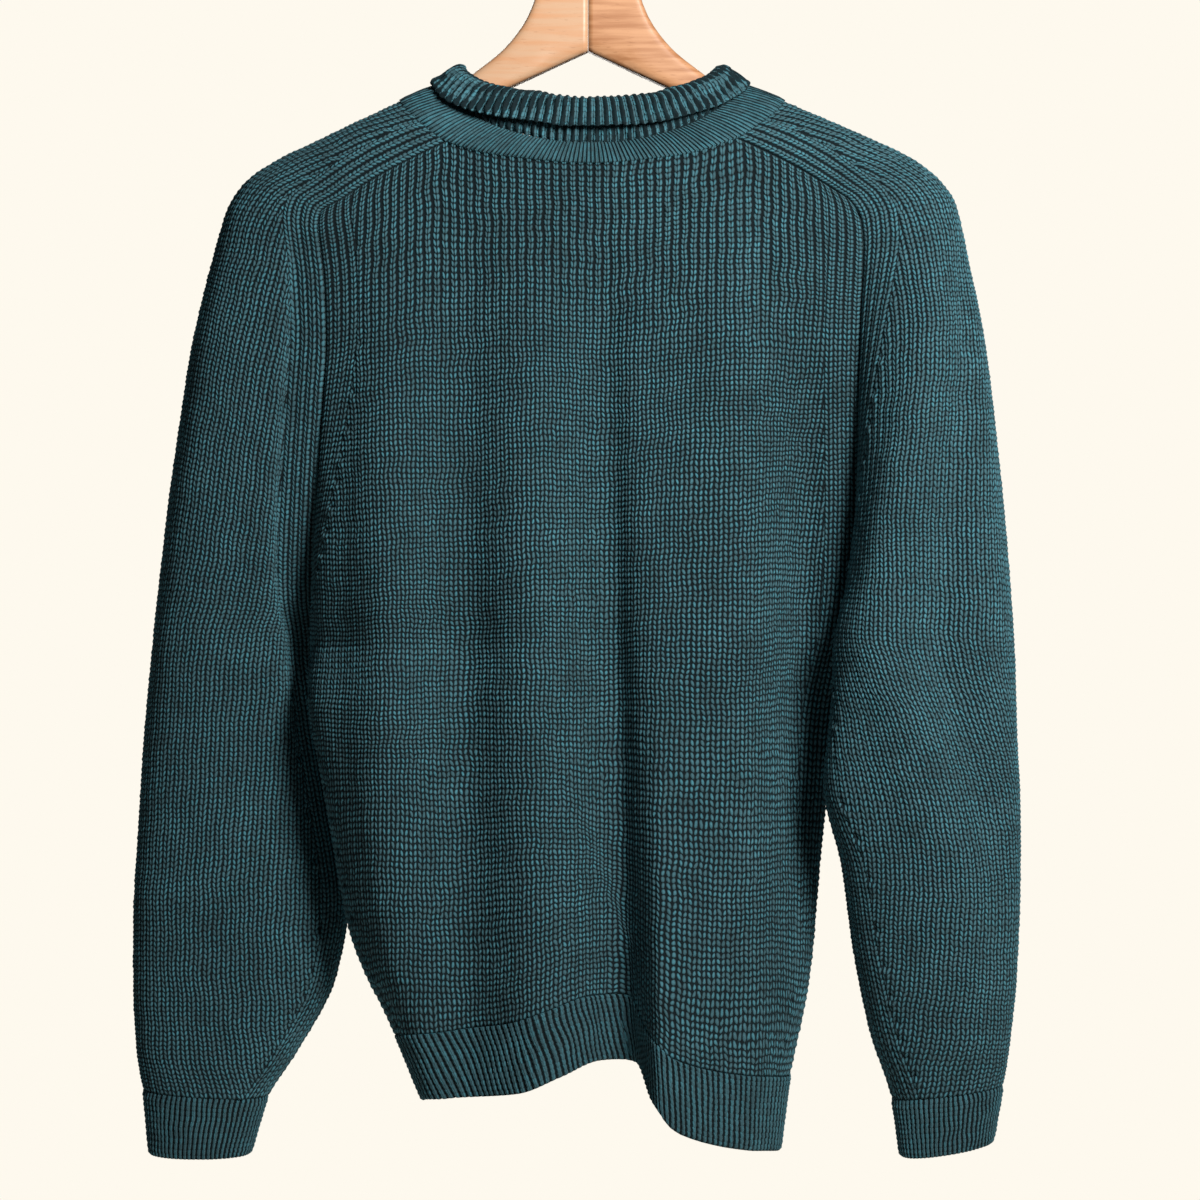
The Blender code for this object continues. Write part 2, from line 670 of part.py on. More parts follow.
def body_sheets():
    parts = np.linspace(0, 1, SADDLE_SPANS * 2 + NECK_SPANS + 1)
    armhole = np.linspace(0, UNDERARM_LEVEL, ARMHOLE_SPANS + 1)
    side = np.linspace(UNDERARM_LEVEL, WELT_TOP, SIDE_SPANS + 1)[1:]
    levels = np.concatenate([armhole, side])
    welt_levels = np.linspace(WELT_TOP, HEM, 3)
    sheets = []
    for which, flip in (("back", True), ("front", False)):
        grid = np.array([panel_row(which, level, parts) for level in levels])
        welt = np.array([panel_row(which, level, parts) for level in welt_levels])
        sheets.append(Sheet(which + "_panel", grid, flip, "wool_body"))
        sheets.append(Sheet(which + "_welt", welt, flip, "wool_rib", "tlr"))
    return sheets


def sleeve_sheets():
    parts = np.linspace(0, 1, SLEEVE_ACROSS + 1)
    stations = np.concatenate(
        [
            np.linspace(0, SADDLE_END, SADDLE_SPANS + 1),
            np.linspace(SADDLE_END, UNDERARM, ARMHOLE_SPANS + 1)[1:],
            np.linspace(UNDERARM, CUFF_TOP, TUBE_SPANS + 1)[1:],
        ]
    )
    sheets = []
    for side, flip in (("left", False), ("right", True)):
        grid = np.array([sleeve_line(side, at, parts) for at in stations])
        cuff = np.array([sleeve_line(side, at, parts) for at in (CUFF_TOP, 19.5, 20.0)])
        sheets.append(Sheet(side + "_sleeve", grid, flip, "wool_body"))
        sheets.append(Sheet(side + "_cuff", cuff, flip, "wool_rib", "tlr"))
    return sheets


def ring(row, angles):
    """A closed ring of the collar at these angles in degrees."""
    size = dict(zip(RING_COLUMNS, row))
    turn = np.radians(angles)
    c, s = np.cos(turn), np.sin(turn)
    depth = np.where(s < 0, size["back"], size["front"])
    end_z = np.where(s < 0, size["back_z"], size["front_z"])
    power = np.where(s < 0, size["power"], size["power"] + FRONT_POWER_MORE)
    z = size["side_z"] + (end_z - size["side_z"]) * np.abs(s) ** power
    return np.stack([NECK_CENTRE_X + size["half_width"] * c, depth * s, z], axis=1)


def collar_angles(count):
    """Angles that space points evenly round the collar."""
    fine = np.linspace(0, 360, 1441)
    points = ring(COLLAR_RINGS[4], fine)[:, :2]
    steps = np.linalg.norm(np.diff(points, axis=0), axis=1)
    length = np.concatenate([[0.0], np.cumsum(steps)])
    return np.interp(np.arange(count) * length[-1] / count, length, fine)


def ring_outward(row, angles):
    size = dict(zip(RING_COLUMNS, row))
    turn = np.radians(angles)
    way = np.stack(
        [np.cos(turn) / size["half_width"], np.sin(turn) / size["back"], np.zeros(len(turn))],
        axis=1,
    )
    return way / np.linalg.norm(way, axis=1)[:, None]


def ring_solid(name, loops, material):
    """A closed tube from loops of points, joined in order and back to the first."""
    rows, count = len(loops), len(loops[0])
    ids = np.arange(rows * count).reshape(rows, count)
    faces = []
    for row in range(rows):
        for col in range(count):
            next_row, next_col = (row + 1) % rows, (col + 1) % count
            face = (ids[row, col], ids[row, next_col], ids[next_row, next_col], ids[next_row, col])
            faces.append(tuple(int(index) for index in face))
    return build_mesh(name, np.concatenate(loops), faces, material)


def make_collar(materials):
    angles = collar_angles(COLLAR_RIBS * 2)
    raised = np.where(np.arange(len(angles)) % 2 == 1, COLLAR_RIB_DEPTH, 0.0)
    loops = []
    for row in COLLAR_RINGS:
        rib = dict(zip(RING_COLUMNS, row))["rib"]
        loops.append(ring(row, angles) + (rib * raised)[:, None] * ring_outward(row, angles))
    return ring_solid("rolled_collar", loops, materials["wool_rib"])


def make_neck_band(by_name, materials):
    """The band that joins the neckline to the collar. Its lower edge follows the pieces' own edges."""
    angles = collar_angles(COLLAR_RIBS)
    neck = slice(SADDLE_SPANS, SADDLE_SPANS + NECK_SPANS + 1)
    edge, facing = [], []
    for name, part in (
        ("left_sleeve", slice(1, -1)),
        ("back_panel", neck),
        ("right_sleeve", slice(1, -1)),
        ("front_panel", neck),
    ):
        edge.append(by_name[name].grid[0][part])
        facing.append(by_name[name].normal[0][part])
    edge, facing = np.concatenate(edge), np.concatenate(facing)
    turn = np.degrees(np.arctan2(edge[:, 1] / 45.0, (edge[:, 0] - NECK_CENTRE_X) / 116.0)) % 360
    order = np.argsort(turn)
    turn, edge, facing = turn[order], edge[order], facing[order]
    turn = np.concatenate([turn[-1:] - 360, turn, turn[:1] + 360])
    edge = np.concatenate([edge[-1:], edge, edge[:1]])
    facing = np.concatenate([facing[-1:], facing, facing[:1]])
    low = np.stack([np.interp(angles, turn, edge[:, axis]) for axis in range(3)], axis=1)
    thick = np.stack([np.interp(angles, turn, facing[:, axis]) for axis in range(3)], axis=1)
    top = ring(BAND_TOP, angles)
    up = top - low
    low = low + up / np.linalg.norm(up, axis=1)[:, None] * 2.2 * SEAM_CLEARANCE
    inner_top = ring(BAND_TOP_INSIDE, angles)
    loops = [low, top, inner_top, low - WALL * thick]
    return ring_solid("neck_band", loops, materials["wool_rib"])


def wood_rows(side, sleeve):
    """Stations along one arm, shaped so that the cloth's inside rests along its top."""
    middle = sleeve.grid.shape[1] // 2
    inside = (sleeve.grid - WALL * sleeve.normal)[: SADDLE_SPANS + 3, middle]
    rows = [dict(zip(WOOD_COLUMNS, row)) for row in WOOD_ROWS]
    for x in np.linspace(116.0, WOOD_TIP_X, 9):
        part = (x - 92.0) / (WOOD_TIP_X - 92.0)
        half = 8.0 + part * (WOOD_TIP_HALF_THICK - 8.0)
        crest = float(np.interp(x, np.abs(inside[:, 0]), inside[:, 2]))
        top = crest - WOOD_BELOW_CLOTH - WOOD_BELOW_SADDLE * max(0.0, 1.0 - part * 2.5)
        low = min(-161.2 - WOOD_ARM_SLOPE * x, top - 16.0)
        rows.append({"x": x, "top_z": top, "low_z": low, "half_thick": half, "square": 2.3})
    tip = rows[-1]
    for out, shrink in ((5.0, 0.82), (8.0, 0.5)):
        middle = (tip["top_z"] + tip["low_z"]) / 2 - out * 0.7
        half_height = (tip["top_z"] - tip["low_z"]) / 2 * shrink
        rows.append(
            {
                "x": WOOD_TIP_X + out,
                "top_z": middle + half_height,
                "low_z": middle - half_height,
                "half_thick": tip["half_thick"] * shrink,
                "square": 2.3,
            }
        )
    return rows


def make_hanger_arm(side, sleeve, materials):
    way = -1.0 if side == "left" else 1.0
    rows = wood_rows(side, sleeve)
    loops = []
    turn = (np.arange(WOOD_SECTION_POINTS) + 0.5) / WOOD_SECTION_POINTS * 2 * math.pi
    for row in rows:
        c, s = squarish(turn, row["square"])
        middle = (row["top_z"] + row["low_z"]) / 2
        half_height = (row["top_z"] - row["low_z"]) / 2
        x = max(row["x"], MITRE_HALF_GAP)
        loops.append(
            np.stack(
                [np.full(len(c), way * x), row["half_thick"] * c, middle + half_height * s], axis=1
            )
        )
    count = WOOD_SECTION_POINTS
    ids = np.arange(len(loops) * count).reshape(len(loops), count)
    faces = []
    for row in range(len(loops) - 1):
        for col in range(count):
            after = (col + 1) % count
            face = [ids[row, col], ids[row, after], ids[row + 1, after], ids[row + 1, col]]
            faces.append(face if side == "right" else face[::-1])
    near, far = list(ids[0]), list(ids[-1])
    faces += [near[::-1], far] if side == "right" else [near, far[::-1]]
    faces = [tuple(int(index) for index in face) for face in faces]
    arm = build_mesh(side + "_hanger_arm", np.concatenate(loops), faces, materials["wood_" + side])
    cutter = make_bore_cutter(side)
    cut = arm.modifiers.new("hook_bore", "BOOLEAN")
    cut.operation = "DIFFERENCE"
    cut.solver = "EXACT"
    cut.object = cutter
    return arm


def make_bore_cutter(side):
    radius = HOOK_WIRE_RADIUS + HOOK_BORE_CLEARANCE
    count = 16
    top = WOOD_ROWS[0][1]
    loops = []
    for z in (top + 6.0, top - BORE_DEPTH):
        turn = (np.arange(count) + 0.5) / count * 2 * math.pi
        loops.append(
            np.stack([radius * np.cos(turn), radius * np.sin(turn), np.full(count, z)], axis=1)
        )
    ids = np.arange(2 * count).reshape(2, count)
    faces = []
    for col in range(count):
        after = (col + 1) % count
        faces.append((int(ids[1, col]), int(ids[1, after]), int(ids[0, after]), int(ids[0, col])))
    faces.append(tuple(int(index) for index in ids[0]))
    faces.append(tuple(int(index) for index in ids[1][::-1]))
    mesh = bpy.data.meshes.new(side + "_bore_cutter")
    points = np.concatenate(loops) * MM
    mesh.from_pydata([tuple(p) for p in points], [], faces)
    mesh.update()
    cutter = bpy.data.objects.new(side + "_bore_cutter", mesh)
    cutter.hide_render = True
    cutter.display_type = "WIRE"
    bpy.context.scene.collection.objects.link(cutter)
    return cutter


def hook_path():
    """Middle line of the wire: from its end up round the crown and down into the wood."""
    radius = HOOK_CROWN_RADIUS + HOOK_WIRE_RADIUS
    centre_z = -HOOK_CROWN_RADIUS
    points = []
    for degrees in np.linspace(200, -20, 21):
        turn = math.radians(degrees)
        points.append((radius * math.cos(turn), centre_z + radius * math.sin(turn)))
    bends = (
        (20.0, -32.0), (16.0, -38.0), (9.5, -44.0), (3.5, -48.5),
        (0.8, -53.0), (0.0, -58.0), (0.0, -66.0), (0.0, -83.5),
    )
    points += list(bends)
    return np.array(points)


def make_hook(materials):
    path = hook_path()
    along = np.gradient(path, axis=0)
    along /= np.linalg.norm(along, axis=1)[:, None]
    side = np.stack([along[:, 1], -along[:, 0]], axis=1)
    count = HOOK_SIDES
    turn = np.arange(count) / count * 2 * math.pi
    loops = []
    for (x, z), (side_x, side_z) in zip(path, side):
        c = HOOK_WIRE_RADIUS * np.cos(turn)
        s = HOOK_WIRE_RADIUS * np.sin(turn)
        loops.append(np.stack([x + c * side_x, s, z + c * side_z], axis=1))
    ids = np.arange(len(loops) * count).reshape(len(loops), count)
    faces = []
    for row in range(len(loops) - 1):
        for col in range(count):
            after = (col + 1) % count
            face = (ids[row, col], ids[row, after], ids[row + 1, after], ids[row + 1, col])
            faces.append(tuple(int(index) for index in face))
    faces.append(tuple(int(index) for index in ids[0][::-1]))
    faces.append(tuple(int(index) for index in ids[-1]))
    return build_mesh("hanger_hook", np.concatenate(loops), faces, materials["steel"])


def main():
    clear_scene()
    materials = make_materials()
    sheets = body_sheets() + sleeve_sheets()
    share_seam_normals(sheets)
    for sheet in sheets:
        if sheet.name.endswith("_welt"):
            ribbed_plate(sheet, WELT_RIBS_PER_SPAN, materials)
        elif sheet.name.endswith("_cuff"):
            ribbed_plate(sheet, CUFF_RIBS_PER_SPAN, materials)
        else:
            plain_plate(sheet, materials)
    by_name = {sheet.name: sheet for sheet in sheets}
    make_neck_band(by_name, materials)
    make_collar(materials)
    for side in ("left", "right"):
        make_hanger_arm(side, by_name[side + "_sleeve"], materials)
    make_hook(materials)


main()
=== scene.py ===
"""The pullover as it looks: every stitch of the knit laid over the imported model's forms.

Lengths in the tables are in millimetres, in the model's own frame. The pieces repeat the
sections, folds and seams of the solids that they replace, at the size of the stitches.
"""

import json
import math

import bpy
import numpy as np
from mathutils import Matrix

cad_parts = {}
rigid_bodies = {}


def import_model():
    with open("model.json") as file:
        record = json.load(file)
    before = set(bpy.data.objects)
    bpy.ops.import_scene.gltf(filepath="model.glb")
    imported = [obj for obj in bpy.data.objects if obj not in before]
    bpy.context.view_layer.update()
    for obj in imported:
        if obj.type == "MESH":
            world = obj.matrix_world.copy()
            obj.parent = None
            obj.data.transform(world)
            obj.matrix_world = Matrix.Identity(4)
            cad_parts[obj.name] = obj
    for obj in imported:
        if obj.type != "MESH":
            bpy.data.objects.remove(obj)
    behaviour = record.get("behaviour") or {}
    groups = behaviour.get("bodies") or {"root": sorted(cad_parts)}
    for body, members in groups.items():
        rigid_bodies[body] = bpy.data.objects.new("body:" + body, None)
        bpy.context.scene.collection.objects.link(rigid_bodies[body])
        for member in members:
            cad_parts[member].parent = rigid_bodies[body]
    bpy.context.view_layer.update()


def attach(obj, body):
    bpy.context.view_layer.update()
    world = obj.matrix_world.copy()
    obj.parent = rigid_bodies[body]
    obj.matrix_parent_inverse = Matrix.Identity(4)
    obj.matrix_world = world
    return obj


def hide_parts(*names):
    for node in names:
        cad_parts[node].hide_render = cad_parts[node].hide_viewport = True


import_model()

MM = 0.001
WALL = 3.0

# The knit: distance between wales (columns) and courses (rows)
BODY_WALE = 5.5
BODY_COURSE = 3.3
SLEEVE_WALE = 5.7
SLEEVE_COURSE = 3.25
STEPS_PER_WALE = 4
STEPS_PER_COURSE = 2
EDGE_WALES = 4
# Edge wales are numbered from here on, so that none has the number of an inner wale
EDGE_NUMBER = 300.0
# Courses below the shoulder where the knit is drawn open into ribs, and where that has gone
OPEN_UNTIL = 8.0
CLOSED_FROM = 44.0
# Height of the yarn on a stitch and in the gap beside it, and how much deeper an open gap is
STITCH_HIGH = 0.6
STITCH_LOW = -0.9
GAP_DEEPER = 0.3
# How far a wale wanders sideways, and how far a fashioning mark stands in from the edge wales
WALE_WOBBLE = 0.45
MARK_INSET = 2.5
SECTION_POINTS = 481

# How far from a seam the cloth turns to meet its neighbour, and how many normals a seam has to a level
SEAM_TURN = 14.0
SEAM_STEPS = 4
# How many stations a saddle takes to fit the neckline, and how many levels a panel takes to fit its top
SADDLE_FIT = 1.5
TOP_REACH = 7.0

# What differs between the panels and the sleeves. Each gutter along a seam is a depth and a width.
PANEL_LOOKS = {
    "course": BODY_COURSE, "rows_of_sag": 1.1, "beside_seams": 0.0, "course_depth": 0.5,
    "side_gutter": (1.6, 2.2), "top_gutter": (1.2, 2.6),
}
SLEEVE_LOOKS = {
    "course": SLEEVE_COURSE, "rows_of_sag": 0.6, "beside_seams": 0.9, "course_depth": 0.35,
    "side_gutter": (1.4, 2.0), "top_gutter": (1.0, 2.4),
}
LOW_GUTTER = (0.5, 2.0)

# The two triangles of a square, and the place among the stitches that the plain inside takes
SQUARE_HALVES = ((0, 1, 2), (0, 2, 3))
LINING_PLACE = (0.25, 0.5)

# Whether a piece's outside is the left-handed side of its lines
FLIPPED_PANELS = {"back": True, "front": False}
FLIPPED_SLEEVES = {"left": False, "right": True}

SADDLE_SPANS = 6
NECK_SPANS = 20

# Wales that hang straight: x at the top and at the bottom of the panel
PANEL_PINS = {
    "back": ((-100, -96), (-22, -20), (14, 12), (62, 52), (112, 104)),
    "front": ((-100, -92), (-30, -26), (40, 40), (100, 92)),
}

# Ribs of the welts, cuffs, collar and neck band
WELT_RIBS = 84
WELT_LONG = 46.0
CUFF_RIBS = 62
CUFF_LONG = 41.0
RIB_STEPS = 5
COLLAR_RIBS = 88
COLLAR_STEPS = 8
COLLAR_ROWS = 72
COLLAR_COURSES = 24
BAND_RIBS = 214
BAND_STEPS = 4
BAND_ROWS = 8

# Colours in linear light
YARN = (0.068, 0.202, 0.246)
# Painted shade: the dark colour of the gaps between the strands of the body, sleeve and rib knits
PAINTED_GAP_SHADE = (0.003, 0.009, 0.012)
# Painted shade: the dark colour between the ribs of the collar and the neck band
PAINTED_RIB_GAP_SHADE = (0.006, 0.019, 0.024)
# Beech: the left arm's grain runs from light to mid, and the right arm is painted darker, from mid to
# dark, as shade
WOOD_LIGHT = (0.80, 0.49, 0.29)
WOOD_MID = (0.80, 0.41, 0.205)
WOOD_DARK = (0.56, 0.24, 0.10)
BACKDROP = (0.991, 0.947, 0.855)
FILL_STRENGTH = 0.05

# Each knit's yarn: the material's name; the middle of a leg across a wale, its half width, its lean and
# how far it opens, in wales; a leg's length in courses; how soon it is seen, which is how far the painted
# shade reaches up from the gaps; the painted shade of the gaps; and how far the whole yarn is darkened as
# painted shade
YARNS = {
    "body": ("wool_knit", (0.25, 0.19, 0.12, 0.07), 0.52, 1.0, PAINTED_GAP_SHADE, 1.0),
    "sleeve": ("wool_sleeve_knit", (0.24, 0.19, 0.14, 0.06), 0.62, 1.0, PAINTED_GAP_SHADE, 1.0),
    # The welts' and cuffs' rib yarn is painted darker, as shade
    "rib": ("wool_rib_knit", (0.13, 0.24, 0.07, 0.0), 0.85, 0.8, PAINTED_GAP_SHADE, 0.72),
    "collar": ("wool_collar_knit", (0.13, 0.15, 0.05, 0.0), 0.75, 0.9, PAINTED_RIB_GAP_SHADE, 1.0),
    "band": ("wool_band_knit", (0.16, 0.24, 0.02, 0.0), 1.3, 0.9, PAINTED_RIB_GAP_SHADE, 1.0),
}

# The view of the photograph, the floor, and the lamps: name, place, size, power and colour
CAMERA_X = 7.4
CAMERA_Z = -501.0
CAMERA_DISTANCE = 1800.0
VIEW_WIDTH = 744.0
FLOOR_RADIUS = 1900.0
FLOOR_Z = -1500.0
LIGHT_AIM = (0.0, 0.0, -0.48)
LIGHTS = (
    ("key", (0.56, -1.06, 0.05), 0.4, 18.6, (1.0, 0.98, 0.96)),
    ("back_light", (-0.4, 2.1, 0.2), 1.6, 30.0, (1.0, 0.98, 0.95)),
)

# Stations along a sleeve where its shape changes kind
SADDLE_END = 4.0
UNDERARM = 13.0
CUFF_TOP = 19.0
CUFF_END = 20.0

# Levels down the body: the armhole takes one level for each sleeve station
UNDERARM_LEVEL = 9.0
HEM_RISE_FROM = 9.0
WELT_TOP = 17.0
HEM = 18.5

SLEEVE_COLUMNS = (
    "outer_x", "outer_z", "seam_x", "seam_z", "depth",
    "half_thick", "back_angle", "front_angle", "square",
)
LEFT_SLEEVE = (
    (-113.5, -190.4, -87.7, -221.0, 0, 30, 90, 90, 2.2),
    (-140.8, -203.4, -112.0, -233.5, 0, 31, 90, 90, 2.2),
    (-166.2, -215.8, -132.7, -245.2, 0, 32, 90, 90, 2.2),
    (-191.6, -228.2, -149.6, -256.3, 0, 33, 88, 88, 2.2),
    (-212.1, -242.5, -162.3, -264.4, 0, 34, 84, 84, 2.2),
    (-222.7, -257.8, -164.1, -273.5, 1, 36, 78, 80, 2.2),
    (-228.5, -275.1, -162.3, -288.1, 2, 38, 72, 76, 2.2),
    (-233.6, -293.0, -159.9, -309.3, 3, 40, 66, 72, 2.2),
    (-239.4, -314.5, -158.9, -342.6, 5, 42, 60, 68, 2.2),
    (-246.5, -345.4, -161.1, -378.9, 7, 43, 54, 64, 2.2),
    (-253.2, -385.7, -164.2, -421.3, 10, 43, 46, 58, 2.2),
    (-260.6, -432.3, -167.0, -464.0, 14, 42, 36, 50, 2.2),
    (-267.5, -485.3, -169.1, -501.0, 18, 40, 20, 32, 2.2),
    (-273.1, -532.4, -169.7, -529.3, 22, 38, 0, 0, 2.2),
    (-278.9, -582.8, -166.0, -576.5, 29, 37, 0, 0, 2.2),
    (-283.0, -639.6, -158.3, -630.9, 31, 36, 2, -2, 2.2),
    (-285.9, -699.2, -150.7, -686.9, 28, 35, 5, -5, 2.2),
    (-285.2, -745.9, -158.2, -736.0, 23, 33, 8, -8, 2.2),
    (-281.9, -785.9, -182.4, -783.5, 18, 31, 8, -8, 2.2),
    (-278.3, -805.5, -199.5, -810.5, 15, 27, 8, -8, 2.2),
    (-273.9, -846.1, -210.9, -846.6, 13, 23, 10, -10, 2.2),
)
RIGHT_SLEEVE = (
    (118.5, -190.4, 94.0, -219.3, 0, 30, 90, 90, 2.2),
    (148.1, -203.4, 118.3, -231.7, 0, 31, 90, 90, 2.2),
    (176.0, -215.8, 136.5, -242.2, 0, 32, 90, 90, 2.2),
    (201.5, -228.2, 151.0, -251.5, 0, 33, 88, 88, 2.2),
    (218.2, -241.8, 160.7, -258.3, 0, 34, 84, 84, 2.2),
    (227.3, -256.4, 166.0, -270.1, -2, 36, 70, 78, 2.2),
    (232.0, -277.1, 167.2, -285.2, -4, 38, 56, 72, 2.2),
    (235.4, -295.8, 166.8, -303.2, -6, 41, 42, 68, 2.2),
    (240.1, -318.9, 165.9, -327.2, -8, 44, 30, 66, 2.2),
    (246.0, -356.1, 165.5, -363.1, -10, 46, 14, 64, 2.2),
    (250.1, -396.3, 166.0, -402.3, -12, 46, -4, 60, 2.2),
    (253.8, -442.6, 166.8, -445.2, -16, 45, -22, 56, 2.2),
    (256.7, -488.8, 166.3, -485.5, -22, 42, -34, 48, 2.2),
    (258.6, -534.5, 162.7, -525.7, -30, 39, -42, 42, 2.2),
    (259.9, -582.9, 150.5, -571.3, -38, 37, -22, 22, 2.2),
    (261.7, -622.1, 142.6, -613.2, -42, 36, -4, 4, 2.2),
    (262.5, -664.6, 154.2, -662.9, -41, 35, 8, -8, 2.2),
    (261.2, -719.6, 161.0, -709.7, -37, 33, 10, -10, 2.2),
    (257.1, -769.0, 172.5, -764.2, -32, 30, 12, -12, 2.2),
    (253.4, -795.8, 185.5, -804.0, -28, 26, 12, -12, 2.2),
    (247.3, -831.2, 191.0, -840.4, -27, 23, 12, -12, 2.2),
)

# Soft folds on a sleeve, where across runs from the back seam (0) over the outside to the front (1)
SLEEVE_FOLD_COLUMNS = ("across", "first", "last", "push", "half_width")
LEFT_SLEEVE_FOLDS = (
    (0.065, 4.0, 17.0, -14.0, 0.045),
    (0.20, 9.0, 18.0, -2.5, 0.07),
    (0.36, 7.0, 18.5, 2.0, 0.08),
    (0.70, 9.0, 17.0, 2.5, 0.08),
    (0.86, 12.0, 18.0, -2.0, 0.06),
)
RIGHT_SLEEVE_FOLDS = (
    (0.25, 5.0, 18.5, 7.0, 0.065),
    (0.385, 6.0, 18.5, -8.0, 0.06),
    (0.66, 9.0, 17.5, 2.5, 0.09),
    (0.84, 12.0, 17.5, -2.0, 0.07),
)

# Side seams below the underarm
SIDE_COLUMNS = ("level", "x", "y", "z")
LEFT_SIDE = (
    (10, -170.1, -4, -568.3),
    (11, -164.8, -8, -599.8),
    (12, -158.5, -10, -636.6),
    (13, -152.8, -11, -672.6),
    (14, -146.6, -12, -705.3),
    (15, -136.8, -13, -731.8),
    (16, -127.2, -13, -750.6),
    (17, -118.8, -14, -769.0),
    (18.5, -102.0, -15, -809.0),
)
RIGHT_SIDE = (
    (10, 155.0, 8, -570.0),
    (11, 151.0, 9, -612.3),
    (12, 146.5, 8, -652.7),
    (13, 143.0, 6, -690.7),
    (14, 139.8, 4, -724.7),
    (15, 135.0, 2, -753.5),
    (16, 129.8, 0, -776.0),
    (17, 125.4, -2, -796.0),
    (18.5, 119.2, -4, -841.2),
)

# How far each panel stands off the line between its side edges, and how far it wraps round them.
# A wrap angle of 0 turns the edge square to the panel, and a larger one leaves it flatter.
BODY_COLUMNS = (
    "level", "back_mid", "front_mid", "back_left", "back_right",
    "front_left", "front_right", "square",
)
BODY_ROWS = (
    (0, -44, 46, 32, 32, 32, 32, 2.3),
    (2, -46, 48, 28, 30, 30, 30, 2.3),
    (4, -48, 50, 20, 32, 30, 28, 2.3),
    (6, -51, 53, 8, 36, 32, 26, 2.3),
    (8, -55, 56, -6, 44, 40, 18, 2.3),
    (9, -57, 57, -10, 46, 42, 10, 2.3),
    (11, -60, 58, -8, 30, 30, 4, 2.3),
    (13, -62, 60, -4, 14, 20, 2, 2.3),
    (15, -64, 62, 0, 6, 12, 0, 2.3),
    (18.5, -66, 64, 0, 4, 6, 0, 2.3),
)

# Ridges (push above 0) and troughs (push below 0) down a panel, each along a straight line
FOLD_COLUMNS = (
    "top_x", "top_z", "low_x", "low_z",
    "push_top", "push_mid", "push_low", "left_width", "right_width",
)
BACK_FOLDS = (
    (-124, -350, -122, -700, 6.0, 14.0, 7.0, 20, 22),
    (-76, -370, -72, -760, -7.0, -17.0, -11.0, 20, 19),
    (-36, -390, -30, -770, 5.0, 11.0, 9.0, 20, 20),
    (12, -380, 24, -815, -10.0, -25.0, -28.0, 23, 11),
    (44, -410, 44, -830, 0.0, 8.0, 21.0, 9, 34),
    (90, -330, 94, -800, 6.0, 14.0, 5.0, 34, 20),
    (133, -390, 136, -660, -8.0, -17.0, -7.0, 16, 18),
)
FRONT_FOLDS = (
    (-112, -380, -104, -760, 3.0, 8.0, 4.0, 22, 22),
    (-62, -400, -48, -800, -3.0, -9.0, -12.0, 20, 18),
    (-18, -430, -6, -800, 2.0, 7.0, 12.0, 18, 24),
    (30, -400, 36, -780, -2.0, -7.0, -6.0, 22, 22),
    (78, -370, 72, -800, 3.0, 8.0, 7.0, 24, 20),
    (118, -430, 104, -760, -2.0, -5.0, -3.0, 16, 16),
)

# Places on the back where yarn was tied in: x, z and how far the knot leans
BACK_TIES = ((-10.0, -267.0, 0.7), (44.0, -266.0, -0.5))

# Height of the hem above or below the straight line between its two corners
HEM_COLUMNS = ("part", "back_rise", "front_rise")
HEM_ROWS = (
    (0.00, 0, 0),
    (0.10, 4, 8),
    (0.25, 11, 18),
    (0.36, 22, 30),
    (0.44, 36, 38),
    (0.51, 46, 42),
    (0.57, 47, 44),
    (0.60, 28, 44),
    (0.65, 14, 42),
    (0.75, 6, 38),
    (0.90, 2, 20),
    (1.00, 0, 0),
)

# The neckline on the outside of the cloth. Angle 0 is the wearer's right, 90 the front and 270 the back.
NECK_CENTRE_X = 1.5
NECK_COLUMNS = ("angle", "half_width", "depth", "z")
NECKLINE = (
    (0, 117.0, 45.0, -190.6),
    (22, 117.0, 45.0, -201.0),
    (42, 117.0, 45.0, -221.5),
    (60, 116.0, 46.0, -243.0),
    (90, 116.0, 47.0, -262.0),
    (120, 116.0, 46.0, -243.0),
    (138, 115.0, 45.0, -221.5),
    (158, 115.0, 45.0, -201.0),
    (180, 115.0, 45.0, -190.6),
    (202, 115.0, 45.0, -202.5),
    (222, 115.0, 45.0, -219.5),
    (244, 116.0, 45.0, -230.0),
    (270, 116.0, 45.0, -235.0),
    (296, 116.0, 45.0, -230.0),
    (318, 117.0, 45.0, -217.5),
    (338, 117.0, 45.0, -202.0),
    (360, 117.0, 45.0, -190.6),
)
BACK_SEAM_ANGLE = 42.0

# Closed rings that make the neck band and the folded collar, from the neckline up and over. Each says
# the half width, the depths at back and front, the heights at side, back and front, the power of the
# curve that joins these heights, and the share of the rib.
FRONT_POWER_MORE = 0.4
BAND_TOP = (91.0, 40.0, 42.0, -180.6, -223.4, -250.4, 1.2, 0)
BAND_TOP_INSIDE = (88.0, 36.8, 38.8, -182.4, -223.4, -250.4, 1.2, 0)
COLLAR_RINGS = (
    (91.0, 39.8, 41.8, -180.0, -222.7, -249.4, 1.32, 1),
    (88.0, 38.6, 40.5, -177.8, -213.0, -239.6, 1.32, 1),
    (84.5, 39.5, 41.5, -175.4, -201.5, -227.7, 1.32, 0),
    (96.0, 43.5, 45.5, -181.4, -213.1, -239.5, 1.22, 0),
    (98.0, 46.6, 48.6, -179.8, -213.9, -240.5, 1.22, 1),
    (93.0, 45.2, 47.2, -176.2, -206.0, -232.5, 1.27, 1),
    (87.5, 43.6, 45.6, -172.0, -198.9, -225.0, 1.32, 1),
    (82.0, 40.3, 42.3, -169.4, -196.5, -222.5, 1.32, 1),
    (77.5, 36.4, 38.4, -172.4, -199.0, -225.2, 1.32, 0),
    (88.0, 36.6, 38.6, -181.8, -222.7, -249.4, 1.32, 0),
)

